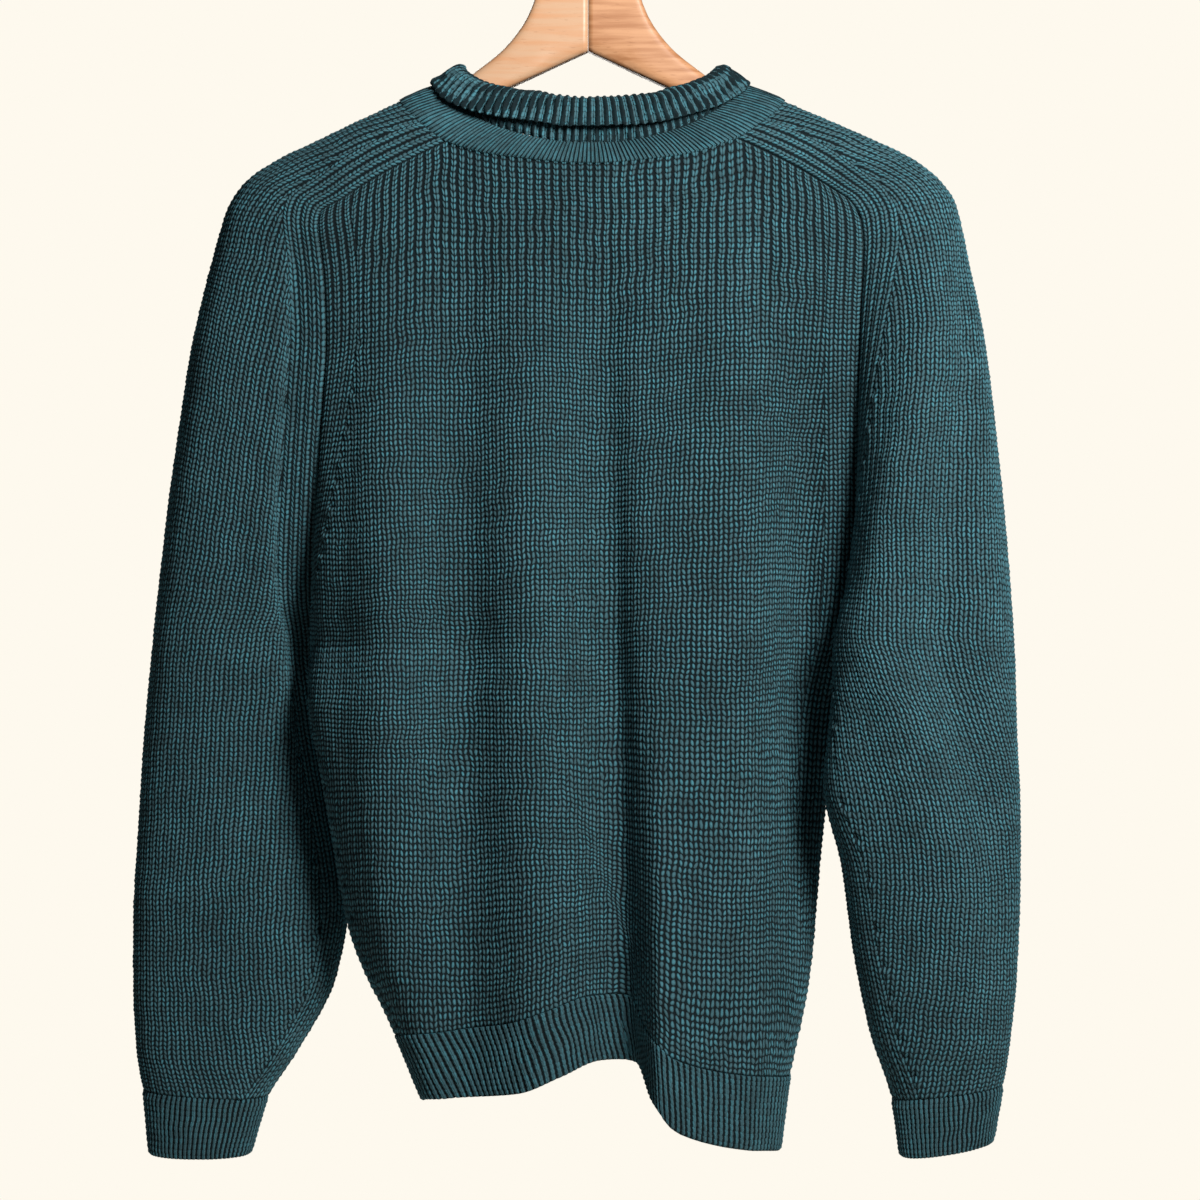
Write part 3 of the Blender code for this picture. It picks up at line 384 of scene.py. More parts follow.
# Outline of the wood from the middle of the hanger outward
WOOD_COLUMNS = ("x", "top_z", "low_z", "half_thick", "square")
WOOD_ROWS = (
    (0.0, -70.0, -161.2, 8.0, 6.0),
    (8.0, -71.0, -164.9, 8.0, 6.0),
    (16.0, -74.5, -168.6, 8.0, 6.0),
    (22.0, -82.0, -171.4, 8.0, 6.0),
    (25.0, -93.0, -172.8, 8.0, 6.0),
    (27.5, -108.0, -174.0, 8.0, 6.0),
    (32.8, -129.0, -176.4, 8.0, 6.0),
    (38.0, -141.5, -178.8, 8.0, 5.5),
    (46.2, -153.5, -182.6, 8.0, 5.0),
    (54.3, -162.2, -186.4, 8.0, 4.5),
    (68.5, -173.2, -193.0, 8.0, 3.5),
    (80.0, -181.6, -198.3, 8.0, 2.6),
    (92.0, -189.6, -203.8, 8.0, 2.3),
)
# Beyond the table the arm slopes down under the cloth and swells to its tip
WOOD_ARM_FROM = 116.0
WOOD_ARM_SLOPE = 0.463
WOOD_ARM_SQUARE = 2.3
WOOD_LEAST_HIGH = 16.0
WOOD_BELOW_CLOTH = 1.0
WOOD_BELOW_SADDLE = 1.4
WOOD_TIP_X = 200.0
WOOD_TIP_HALF_THICK = 14.0
# The last stations, which round the tip: how far out each is, and its share of the tip's size
WOOD_TIP_ROUNDING = ((5.0, 0.82), (8.0, 0.5))
WOOD_SIDES = 40
MITRE_HALF_GAP = 0.15


def column(rows, columns, name):
    return np.array([row[columns.index(name)] for row in rows], float)


def eased(share):
    """A share from 0 to 1 with a soft start and a soft end."""
    return share * share * (3 - 2 * share)


def bell(distance, width):
    """1 at no distance, falling away over about this width."""
    return np.exp(-((distance / width) ** 2))


def unit(vectors):
    return vectors / np.linalg.norm(vectors, axis=-1, keepdims=True)


def smooth(at, knots, values):
    """Smooth curve through the values, with no overshoot between the knots."""
    at = np.clip(at, knots[0], knots[-1])
    rise = np.diff(values) / np.diff(knots)
    before, after = rise[:-1], rise[1:]
    same_way = before * after > 0
    total = np.where(same_way, before + after, 1.0)
    inner = np.where(same_way, 2.0 * before * after / total, 0.0)
    slopes = np.concatenate([rise[:1], inner, rise[-1:]])
    place = np.clip(np.searchsorted(knots, at, side="right") - 1, 0, len(knots) - 2)
    span = knots[place + 1] - knots[place]
    f = (at - knots[place]) / span
    start = (1 + 2 * f) * (1 - f) ** 2 * values[place]
    end = f * f * (3 - 2 * f) * values[place + 1]
    bend = f * (1 - f) * span * ((1 - f) * slopes[place] - f * slopes[place + 1])
    return start + end + bend


def smooth_row(at, rows, columns, key=None):
    """The table's row at this place, each column smoothed, as a dictionary."""
    knots = column(rows, columns, key) if key else np.arange(len(rows), dtype=float)
    return {
        name: float(smooth(np.array(at, float), knots, column(rows, columns, name)))
        for name in columns
    }


def spread(points, parts):
    """Points at these parts (0 to 1) of the length of a line of points."""
    length = lengths_along(points)
    return along_line(np.asarray(parts) * length[-1], length, points)


def squarish(angle, square):
    """Cosine and sine of a superellipse, which is a circle at square 2."""
    c, s = np.cos(angle), np.sin(angle)
    reach = (np.abs(c) ** square + np.abs(s) ** square) ** (-1.0 / square)
    return c * reach, s * reach


def neck_point(angle):
    """Points of the neckline at these angles in degrees."""
    rows = NECKLINE[-2:-1] + NECKLINE + NECKLINE[1:2]
    knots = column(rows, NECK_COLUMNS, "angle")
    knots[0] -= 360.0
    knots[-1] += 360.0
    angle = np.mod(angle, 360.0)
    half, depth, z = (
        smooth(angle, knots, column(rows, NECK_COLUMNS, name))
        for name in ("half_width", "depth", "z")
    )
    turn = np.radians(angle)
    return np.stack([NECK_CENTRE_X + half * np.cos(turn), depth * np.sin(turn), z], axis=1)


def neck_arc(first, last, parts):
    """Evenly spaced points of the neckline between two angles."""
    return spread(neck_point(np.linspace(first, last, 241)), parts)


def sleeve_fold(folds, along, across):
    """How far a sleeve's folds push the cloth out at these places of one section."""
    push = np.zeros_like(across)
    for row in folds:
        fold = dict(zip(SLEEVE_FOLD_COLUMNS, row))
        run = (along - fold["first"]) / (fold["last"] - fold["first"])
        if 0.0 < run < 1.0:
            strength = fold["push"] * math.sin(math.pi * run)
            push += strength * bell(across - fold["across"], fold["half_width"])
    return push


def sleeve_line(side, along, parts):
    """One section of a sleeve, from its back seam over the outside to its front seam."""
    table, folds, saddle = {
        "left": (LEFT_SLEEVE, LEFT_SLEEVE_FOLDS, (180 + BACK_SEAM_ANGLE, 180 - BACK_SEAM_ANGLE)),
        "right": (RIGHT_SLEEVE, RIGHT_SLEEVE_FOLDS, (-BACK_SEAM_ANGLE, BACK_SEAM_ANGLE)),
    }[side]
    row = smooth_row(along, table, SLEEVE_COLUMNS)
    start = math.radians(row["back_angle"])
    end = 2 * math.pi - math.radians(row["front_angle"])
    c, s = squarish(np.linspace(start, end, 361), row["square"])
    reach_x = (row["outer_x"] - row["seam_x"]) / (1 + c[0])
    reach_z = (row["outer_z"] - row["seam_z"]) / (1 + c[0])
    x = row["outer_x"] - reach_x * (1 + c)
    y = row["depth"] - row["half_thick"] * s
    z = row["outer_z"] - reach_z * (1 + c)
    line = np.stack([x, y, z], axis=1)
    points = spread(line, parts)
    push = sleeve_fold(folds, along, np.asarray(parts))
    points = points + push[:, None] * unit(points - line.mean(axis=0))
    if along < SADDLE_FIT:
        share = eased(1.0 - along / SADDLE_FIT)
        points = share * neck_arc(*saddle, parts) + (1 - share) * points
    return points


def sleeve_seam(side, along, which):
    return sleeve_line(side, along, [0.0, 1.0])[0 if which == "back" else 1]


def side_point(side, which, level):
    """The side edge of a panel: the armhole seam, then the side seam."""
    if level <= UNDERARM_LEVEL:
        return sleeve_seam(side, SADDLE_END + level, which)
    underarm = sleeve_seam(side, UNDERARM, which)
    rows = ((UNDERARM_LEVEL, *underarm),) + (LEFT_SIDE if side == "left" else RIGHT_SIDE)
    row = smooth_row(level, rows, SIDE_COLUMNS, "level")
    return np.array([row["x"], row["y"], row["z"]])


def top_line(which, parts):
    """The panel's top edge: saddle seam, neckline, saddle seam, at parts of each of the three."""
    left, right = (
        np.array([sleeve_seam(side, at, which) for at in np.linspace(SADDLE_END, 0.0, 25)])
        for side in ("left", "right")
    )
    if which == "back":
        ends = (180 + BACK_SEAM_ANGLE, 360 - BACK_SEAM_ANGLE)
    else:
        ends = (180 - BACK_SEAM_ANGLE, BACK_SEAM_ANGLE)
    neck = neck_arc(*ends, np.linspace(0, 1, 61))
    first = SADDLE_SPANS / (SADDLE_SPANS * 2 + NECK_SPANS)
    last = 1 - first
    parts = np.asarray(parts)
    on_left = part_way(left, parts / first)
    on_right = part_way(right[::-1], (parts - last) / (1 - last))
    on_neck = part_way(neck, (parts - first) / (last - first))
    past_neck = np.where((parts >= last)[:, None], on_right, on_neck)
    return np.where((parts <= first)[:, None], on_left, past_neck)


def fold_push(folds, x, z):
    """How far the folds push the cloth out at these places."""
    push = np.zeros_like(x)
    for row in folds:
        fold = dict(zip(FOLD_COLUMNS, row))
        run = (fold["top_z"] - z) / (fold["top_z"] - fold["low_z"])
        centre = fold["top_x"] + run * (fold["low_x"] - fold["top_x"])
        pushes = (0.0, fold["push_top"], fold["push_mid"], fold["push_low"], fold["push_low"])
        strength = smooth(run, np.array([-0.25, 0.0, 0.5, 1.0, 1.25]), np.array(pushes))
        off = x - centre
        width = np.where(off < 0, fold["left_width"], fold["right_width"])
        push += strength * bell(off, width)
    return push


def plain_row(which, level, parts):
    """One course of a panel before its top edge is fitted to the shoulder and neck."""
    left = side_point("left", which, level)
    right = side_point("right", which, level)
    row = smooth_row(level, BODY_ROWS, BODY_COLUMNS, "level")
    first = math.radians(row[which + "_left"])
    last = math.pi - math.radians(row[which + "_right"])
    c, s = squarish(np.linspace(first, last, 401), row["square"])
    base = s - np.interp(-c, [-c[0], -c[-1]], [s[0], s[-1]])
    w = (-c + c[0]) / (-c[-1] + c[0])
    line = left + (right - left) * w[:, None]
    if level > HEM_RISE_FROM:
        rise = smooth(
            np.linspace(0, 1, len(line)),
            column(HEM_ROWS, HEM_COLUMNS, "part"),
            column(HEM_ROWS, HEM_COLUMNS, which + "_rise"),
        )
        line[:, 2] += rise * eased((level - HEM_RISE_FROM) / (HEM - HEM_RISE_FROM))
    middle_y = (left[1] + right[1]) / 2
    swell = (row[which + "_mid"] - middle_y) / base.max()
    line[:, 1] += swell * base
    outward = -1.0 if which == "back" else 1.0
    folds = BACK_FOLDS if which == "back" else FRONT_FOLDS
    near_edge = np.minimum(1.0, np.minimum(w, 1 - w).clip(0) * 12)
    line[:, 1] += outward * fold_push(folds, line[:, 0], line[:, 2]) * near_edge
    return spread(line, parts)


def waves(u, v, count, longest, seed):
    """Smooth unevenness over two coordinates, about 1 high, with no step longer than the longest wave."""
    random = np.random.RandomState(seed)
    total = np.zeros(np.broadcast(u, v).shape)
    for _ in range(count):
        angle = random.uniform(0, 2 * math.pi)
        length = longest * random.uniform(0.25, 1.0)
        turn = 2 * math.pi / length
        phase = random.uniform(0, 2 * math.pi)
        total = total + np.sin(turn * (math.cos(angle) * u + math.sin(angle) * v) + phase)
    return total / math.sqrt(count)


def chance(u, v, seed):
    """A value from 0 to 1 for each whole pair of coordinates, the same at each run."""
    mixed = np.sin(np.floor(u) * 12.9898 + np.floor(v) * 78.233 + seed * 37.719) * 43758.5453
    return mixed - np.floor(mixed)


def lengths_along(lines):
    """Distance along each line of points from its start."""
    steps = np.linalg.norm(np.diff(lines, axis=-2), axis=-1)
    start = np.zeros(steps.shape[:-1] + (1,))
    return np.concatenate([start, np.cumsum(steps, axis=-1)], axis=-1)


def stretched(at, knots, values, slope):
    """Straight lines through the knots, carried on past both ends at this slope."""
    inside = np.interp(at, knots, values)
    below = values[0] + (at - knots[0]) * slope
    above = values[-1] + (at - knots[-1]) * slope
    return np.where(at < knots[0], below, np.where(at > knots[-1], above, inside))


def along_line(at, lengths, line):
    return np.stack([np.interp(at, lengths, line[:, axis]) for axis in range(3)], axis=1)


def part_way(line, parts):
    """Points part of the way (0 to 1) through a line's own points."""
    return along_line(np.clip(parts, 0, 1) * (len(line) - 1), np.arange(len(line)), line)


class KnitGrid:
    """Where each wale crosses each course of a piece.

    Wales run straight down from the pins, and end where they meet the edge wales, which
    run beside the seams. Points off the pins' reach are moved onto the edge and shared.
    """

    def __init__(self, lines, pins, wale, edge_wales=EDGE_WALES, steps=STEPS_PER_WALE):
        self.lines = lines
        self.lengths = lengths_along(lines)
        rows = len(lines)
        whole = self.lengths[:, -1:]
        edge = edge_wales * wale
        numbers = np.array([number for number, _ in pins])
        places = np.stack([place(self) for _, place in pins], axis=1)
        first = min(numbers[0] - places[r, 0] / wale for r in range(rows))
        last = max(numbers[-1] + (whole[r, 0] - places[r, -1]) / wale for r in range(rows))
        first = math.floor((first + edge_wales) * steps)
        last = math.ceil((last - edge_wales) * steps)
        inner = np.arange(first, last + 1) / steps
        band = np.arange(edge_wales * steps + 1) / steps
        self.s = np.empty((rows, 2 * len(band) + len(inner)))
        self.u = np.empty_like(self.s)
        self.low_wale = np.empty(rows)
        self.high_wale = np.empty(rows)
        for row in range(rows):
            high = whole[row, 0] - edge
            at = stretched(inner, numbers, places[row], wale)
            low_u = float(stretched(np.array(edge), places[row], numbers, 1 / wale))
            high_u = float(stretched(np.array(high), places[row], numbers, 1 / wale))
            self.low_wale[row], self.high_wale[row] = low_u, high_u
            inner_u = np.clip(inner, low_u, high_u)
            self.s[row] = np.concatenate([band * wale, np.clip(at, edge, high), high + band * wale])
            self.u[row] = np.concatenate([band - EDGE_NUMBER, inner_u, band + EDGE_NUMBER])
        self.sag = np.zeros_like(self.s)
        self.left_column = len(band) - 1
        self.right_column = len(band) + len(inner)
        self.edge, self.high = edge, whole[:, 0] - edge

    def ids(self):
        """A number for each point. Points that have run into an edge wale share its number."""
        rows, columns = self.s.shape
        ids = np.arange(rows * columns).reshape(rows, columns)
        inside = slice(self.left_column + 1, self.right_column)
        s = self.s[:, inside]
        left = ids[:, self.left_column][:, None]
        right = ids[:, self.right_column][:, None]
        ids[:, inside] = np.where(s <= self.edge + 1e-6, left, ids[:, inside])
        ids[:, inside] = np.where(s >= self.high[:, None] - 1e-6, right, ids[:, inside])
        return ids

    def hidden_wales(self):
        """The inner columns, and which of their points have run into an edge wale."""
        inside = slice(self.left_column + 1, self.right_column)
        s = self.s[:, inside]
        return inside, (s <= self.edge + 1e-6) | (s >= self.high[:, None] - 1e-6)

    def marks(self):
        """Rows where one more wale has met an edge: (row, on the left)."""
        found = []
        for at_left, wales in ((True, self.low_wale), (False, self.high_wale)):
            for row in np.flatnonzero(np.diff(np.floor(wales))):
                found.append((int(row), at_left))
        return found


def surface_normals(lines, flip, across=161):
    """Unit normals on an even grid over the lines, one row for each line."""
    even = np.stack([spread(line, np.linspace(0, 1, across)) for line in lines])
    down = np.gradient(even, axis=0)
    right = np.gradient(even, axis=1)
    normal = unit(np.cross(right, down))
    return -normal if flip else normal


def nearest_places(points, line):
    """Where these points lie along a line, from 0 at its start to 1 at its end."""
    run = lengths_along(line)
    return np.array([run[np.argmin(np.linalg.norm(line - p, axis=1))] for p in points]) / run[-1]


def seam_normals():
    """Normals along each seam, the mean of the two cloths that meet there."""
    levels = np.arange(0, HEM + 0.1, 1 / SEAM_STEPS)
    stations = np.arange(0, CUFF_END + 0.1, 1 / SEAM_STEPS)
    tops, panels, seams = {}, {}, {}
    for which, flip in FLIPPED_PANELS.items():
        lines = panel_lines(which, levels)
        panels[which] = surface_normals(lines, flip)
        tops[which] = (lines[0], panels[which][0].copy())
    armhole = slice(int(SADDLE_END * SEAM_STEPS), int(UNDERARM * SEAM_STEPS) + 1)
    below = int(UNDERARM_LEVEL * SEAM_STEPS) + 1
    for side, flip in FLIPPED_SLEEVES.items():
        sleeve = surface_normals(sleeve_lines(side, stations), flip)
        edge = 0 if side == "left" else -1
        sides = unit(panels["back"][:, edge] + panels["front"][:, edge])
        under = unit(sleeve[:, 0] + sleeve[:, -1])
        for which, end in (("back", 0), ("front", -1)):
            own = panels[which][:, edge].copy()
            own[:below] = unit(own[:below] + sleeve[armhole, end])
            own[below:] = sides[below:]
            line, top = tops[which]
            saddle = np.array([sleeve_seam(side, at, which) for at in stations[: armhole.start]])
            places = nearest_places(saddle, line)
            joined = under.copy()
            joined[: armhole.start] = unit(sleeve[: armhole.start, end] + part_way(top, places))
            joined[armhole] = own[:below]
            seams[side, which] = (own, joined)
            order = np.argsort(places)
            at = np.linspace(0, 1, len(top))
            reach = (at >= places.min()) & (at <= places.max())
            top[reach] = along_line(at[reach], places[order], joined[: armhole.start][order])
    return seams, {which: top for which, (_, top) in tops.items()}


def blend_normals(normals, lines, first, last, top=None):
    """Turns normals to those of the seams near the first and last columns and the top row."""
    columns = normals.shape[1]
    length = lengths_along(lines)[:, -1:]
    off = np.linspace(0, 1, columns)[None, :] * length
    for edge, away in ((first, off), (last, length - off)):
        share = bell(away, SEAM_TURN)[:, :, None]
        normals = normals * (1 - share) + edge[:, None, :] * share
    if top is not None:
        away = lengths_along(lines[:, lines.shape[1] // 2])
        share = bell(away, SEAM_TURN)[:, None, None]
        normals = normals * (1 - share) + top[None] * share
    return unit(normals)


def drawn_open(v):
    """1 at the shoulders, where the wales are drawn apart, and 0 from the chest down."""
    return eased(np.clip((CLOSED_FROM - v) / (CLOSED_FROM - OPEN_UNTIL), 0, 1))


def humps(at):
    """Smooth humps, 0 at whole numbers and 1 half-way between them."""
    return 0.5 - 0.5 * np.cos(2 * math.pi * at)


def stitch_relief(u, v, opened, course_depth):
    """How far the yarn stands out: 0 between wales, 1 on the crown of a stitch's two legs."""
    depth = course_depth * (1 - 0.1 * opened)
    # Where the knit is open the two legs run together into one rounder wale
    as_one = 0.35 + 0.4 * opened
    legs = humps(2 * u) * (1 - as_one) + humps(u) * as_one
    return legs * (1 - depth + depth * humps(v))


def zipper(first, second, first_at, second_at):
    """Triangles between two lines of points, each given by its indices and places from 0 to 1."""
    faces = []
    i = j = 0
    while i < len(first) - 1 or j < len(second) - 1:
        step_first = j == len(second) - 1 or (
            i < len(first) - 1 and first_at[i + 1] <= second_at[j + 1]
        )
        if step_first:
            faces.append((first[i], first[i + 1], second[j]))
            i += 1
        else:
            faces.append((first[i], second[j + 1], second[j]))
            j += 1
    return faces


def corners_of(grid):
    """The four corners of each square of a grid, in turn."""
    return np.stack([grid[:-1, :-1], grid[:-1, 1:], grid[1:, 1:], grid[1:, :-1]], axis=2)


def split_squares(ids, places, order):
    """Two triangles for each square of a grid, and the texture place of each of their corners."""
    corners = corners_of(ids).reshape(-1, 4)
    uv = corners_of(places).reshape(-1, 4, 2)
    faces = np.concatenate([corners[:, face] for face in order])
    return faces, np.concatenate([uv[:, face] for face in order])


def mesh_object(name, points, faces, material, uv=None):
    """An object from points in millimetres, triangles and a texture place for each triangle's corners."""
    used, faces_flat = np.unique(np.asarray(faces, int).reshape(-1), return_inverse=True)
    points = np.asarray(points, float)[used] * MM
    mesh = bpy.data.meshes.new(name)
    mesh.vertices.add(len(points))
    mesh.vertices.foreach_set("co", points.reshape(-1))
    mesh.loops.add(len(faces_flat))
    mesh.loops.foreach_set("vertex_index", faces_flat.reshape(-1))
    count = len(faces_flat) // 3
    mesh.polygons.add(count)
    mesh.polygons.foreach_set("loop_start", np.arange(count) * 3)
    mesh.polygons.foreach_set("loop_total", np.full(count, 3))
    mesh.polygons.foreach_set("use_smooth", np.ones(count, bool))
    if uv is not None:
        layer = mesh.uv_layers.new(name="stitches")
        layer.data.foreach_set("uv", np.asarray(uv, float).reshape(-1))
    mesh.update(calc_edges=True)
    mesh.validate()
    mesh.materials.append(material)
    made = bpy.data.objects.new(name, mesh)
    bpy.context.scene.collection.objects.link(made)
    return made


def sagged(rows_of_points, sag):
    """The same rows, each point moved down by a number of rows."""
    last = len(rows_of_points) - 1
    at = np.clip(np.arange(last + 1)[:, None] + sag, 0, last)
    above = np.minimum(np.floor(at).astype(int), last - 1)
    part = (at - above)[:, :, None]
    column = np.arange(sag.shape[1])[None, :]
    return rows_of_points[above, column] * (1 - part) + rows_of_points[above + 1, column] * part


def knit_object(name, grid, v, relief, flip, material, edges, lining=(48, 110)):
    """A closed shell with stitches outside and a plain inside a wall's thickness below."""
    rows, columns = grid.s.shape
    normals = blend_normals(surface_normals(grid.lines, flip), grid.lines, *edges)
    base, outward = np.empty((2, rows, columns, 3))
    for row in range(rows):
        base[row] = along_line(grid.s[row], grid.lengths[row], grid.lines[row])
        even = np.linspace(0, grid.lengths[row, -1], normals.shape[1])
        outward[row] = along_line(grid.s[row], even, normals[row])
    points = sagged(base, grid.sag) + sagged(outward, grid.sag) * relief[:, :, None]
    ids = grid.ids()
    places = np.stack([grid.u, np.broadcast_to(v[:, None], grid.u.shape)], axis=-1)
    order = [face[::-1] for face in SQUARE_HALVES] if flip else SQUARE_HALVES
    faces, uv = split_squares(ids, places, order)
    whole = np.all(faces != np.roll(faces, 1, axis=1), axis=1)
    inner, inner_faces = lining_of(grid, normals, ids, flip, lining)
    points = np.concatenate([points.reshape(-1, 3), inner])
    faces = np.concatenate([faces[whole], inner_faces])
    uv = np.concatenate([uv[whole], np.zeros((len(inner_faces), 3, 2)) + LINING_PLACE])
    return mesh_object(name, points, faces, material, uv)


def lining_of(grid, normals, ids, flip, lining):
    """The plain inside of a shell and the strips that close it round its edges."""
    rows, columns = grid.s.shape
    row_at = np.unique(np.linspace(0, rows - 1, lining[0]).astype(int))
    part = np.linspace(0, 1, lining[1])
    inner = np.empty((len(row_at), len(part), 3))
    for place, row in enumerate(row_at):
        run = grid.lengths[row]
        even = np.linspace(0, run[-1], normals.shape[1])
        base = along_line(part * run[-1], run, grid.lines[row])
        inner[place] = base - WALL * along_line(part * run[-1], even, normals[row])
    inner_ids = rows * columns + np.arange(inner.shape[0] * inner.shape[1])
    inner_ids = inner_ids.reshape(inner.shape[:2])
    faces = list(corners_of(inner_ids)[:, :, SQUARE_HALVES].reshape(-1, 3))
    row_part = np.arange(rows) / (rows - 1)
    inner_row_part = row_at / (rows - 1)
    for edge, inner_edge, edge_at, inner_at in (
        (ids[0], inner_ids[0], grid.s[0] / grid.s[0, -1], part),
        (ids[-1][::-1], inner_ids[-1][::-1], 1 - grid.s[-1][::-1] / grid.s[-1, -1], part),
        (ids[::-1, 0], inner_ids[::-1, 0], row_part, 1 - inner_row_part[::-1]),
        (ids[:, -1], inner_ids[:, -1], row_part, inner_row_part),
    ):
        keep = np.concatenate([[True], np.diff(edge) != 0])
        faces += zipper(edge[keep], inner_edge, edge_at[keep], inner_at)
    faces = np.array(faces)
    return inner.reshape(-1, 3), faces if flip else faces[:, ::-1]


def seam_gutter(distance, depth, width):
    return -depth * bell(distance, width)


def knit_relief(grid, v, seed, beside_seams, course_depth):
    """Height of the yarn at each point of a grid, uneven from stitch to stitch."""
    rows = v[:, None]
    near = np.minimum(grid.s, grid.lengths[:, -1:] - grid.s)
    # Open beside the seams: in full within 22 mm and 100 courses, and gone at 67 mm and 150 courses
    beside = beside_seams * np.clip(1.5 - near / 45.0, 0, 1) * np.clip(3.0 - rows / 50.0, 0, 1)
    opened = np.maximum(drawn_open(rows), beside)
    relief = stitch_relief(grid.u, rows, opened, course_depth)
    # Each stitch stands at 0.82 to 1.18 of the usual height
    uneven = 0.82 + 0.36 * chance(grid.u + 1e-4, rows, seed)
    low = STITCH_LOW - GAP_DEEPER * opened
    height = low + (STITCH_HIGH - low) * relief * uneven
    inside, clipped = grid.hidden_wales()
    height[:, inside] = np.where(clipped, low[:, inside], height[:, inside])
    return height


def add_marks(grid, height, course):
    """Fashioning marks: a raised loop with a pit above it, where wales meet the edge wales."""
    rows = np.arange(len(height))
    for row, at_left in grid.marks():
        # Ten rows each way hold the whole mark
        span = slice(max(0, row - 10), row + 11)
        down = (rows[span] - row)[:, None] / STEPS_PER_COURSE * course
        centre = grid.edge + MARK_INSET if at_left else grid.high[span, None] - MARK_INSET
        across = grid.s[span] - centre
        loop = bell(across, 3.4) * bell(down - 2.0, 2.2)
        pit = bell(across, 2.2) * bell(down + 2.6, 2.0)
        height[span] += 1.2 * loop - 1.5 * pit


def add_ties(grid, height, course):
    """Small knots where yarn was tied in: short strands that cross the stitches aslant."""
    for x, z, lean in BACK_TIES:
        column = np.argmin(np.abs(grid.lines[0][:, 0] - x))
        row = int(np.argmin(np.abs(grid.lines[:, column, 2] - z)))
        span = slice(row - 8, row + 9)
        down = np.arange(-8, 9)[:, None] / STEPS_PER_COURSE * course
        across = grid.s[span] - grid.lengths[row, column]
        # Two strands cross, one weaker and flatter, with a small pit beside them
        for way, turn in ((1.0, lean), (0.7, -0.6 * lean)):
            off = across - turn * down
            along = down + turn * across
            height[span] += 1.5 * way * np.exp(-((off / 1.6) ** 2) - (along / 6.5) ** 4)
        height[span] -= 0.8 * np.exp(-(((across - 4.5) / 3.0) ** 2) - (down / 7.0) ** 4)


def even_courses(lengths, levels, course):
    """Levels of the mesh rows, so that courses are this far apart along the measured length."""
    count = int(round(lengths[-1] / course)) * STEPS_PER_COURSE
    at = np.linspace(0, lengths[-1], count + 1)
    return np.interp(at, lengths, levels), np.arange(count + 1) / STEPS_PER_COURSE


def panel_lines(which, levels):
    """The panel's surface as one dense line of points for each level."""
    parts = np.linspace(0, 1, SECTION_POINTS)
    top_move = top_line(which, parts) - plain_row(which, 0.0, parts)
    lines = []
    for level in levels:
        points = plain_row(which, level, parts)
        if level < TOP_REACH:
            points = points + (1 - level / TOP_REACH) ** 2 * top_move
        lines.append(points)
    return np.array(lines)


def pin_at_x(places):
    """A pin whose wale hangs at these x values, a pair for the top and bottom rows."""
    def place(grid):
        at = np.linspace(places[0], places[1], len(grid.lines))
        rows = zip(at, grid.lines, grid.lengths)
        return np.array([np.interp(x, line[:, 0], run) for x, line, run in rows])
    return place


def pin_in_middle(grid):
    return grid.lengths[:, -1] / 2


def panel_pins(which):
    """Pins for a panel, numbered by how far apart they are at the shoulders."""
    pins = []
    for top_x, low_x in PANEL_PINS[which]:
        number = round((top_x - PANEL_PINS[which][0][0]) / BODY_WALE * 1.04)
        pins.append((number, pin_at_x((top_x, low_x))))
    return pins


def edge_normals(levels, table):
    """A seam's normals read at these levels."""
    return along_line(np.asarray(levels) * SEAM_STEPS, np.arange(len(table)), table)


def panel_edges(which, levels, seams, top=None):
    return (
        edge_normals(levels, seams["left", which][0]),
        edge_normals(levels, seams["right", which][0]),
        top,
    )


def sleeve_edges(side, stations, seams):
    return (
        edge_normals(stations, seams[side, "back"][1]),
        edge_normals(stations, seams[side, "front"][1]),
    )


def knit_height(grid, v, seed, looks):
    """Height of a piece's yarn, with its fashioning marks and the gutters along its seams."""
    course = looks["course"]
    grid_wobble(grid, v, seed, looks["rows_of_sag"])
    height = knit_relief(grid, v, seed, looks["beside_seams"], looks["course_depth"])
    add_marks(grid, height, course)
    for away, gutter in (
        (grid.s, looks["side_gutter"]),
        (grid.lengths[:, -1:] - grid.s, looks["side_gutter"]),
        ((v * course)[:, None], looks["top_gutter"]),
        (((v[-1] - v) * course)[:, None], LOW_GUTTER),
    ):
        height += seam_gutter(away, *gutter)
    return height


def make_panel(which, material, seams, tops):
    coarse = np.linspace(0, WELT_TOP, 69)
    middle = panel_lines(which, coarse)[:, SECTION_POINTS // 2]
    levels, v = even_courses(lengths_along(middle), coarse, BODY_COURSE)
    grid = KnitGrid(panel_lines(which, levels), panel_pins(which), BODY_WALE)
    height = knit_height(grid, v, 11 if which == "back" else 12, PANEL_LOOKS)
    if which == "back":
        add_ties(grid, height, BODY_COURSE)
    edges = panel_edges(which, levels, seams, tops[which])
    flip = FLIPPED_PANELS[which]
    piece = knit_object(which + "_knit", grid, v, height, flip, material, edges)
    dress(piece, which + "_panel")


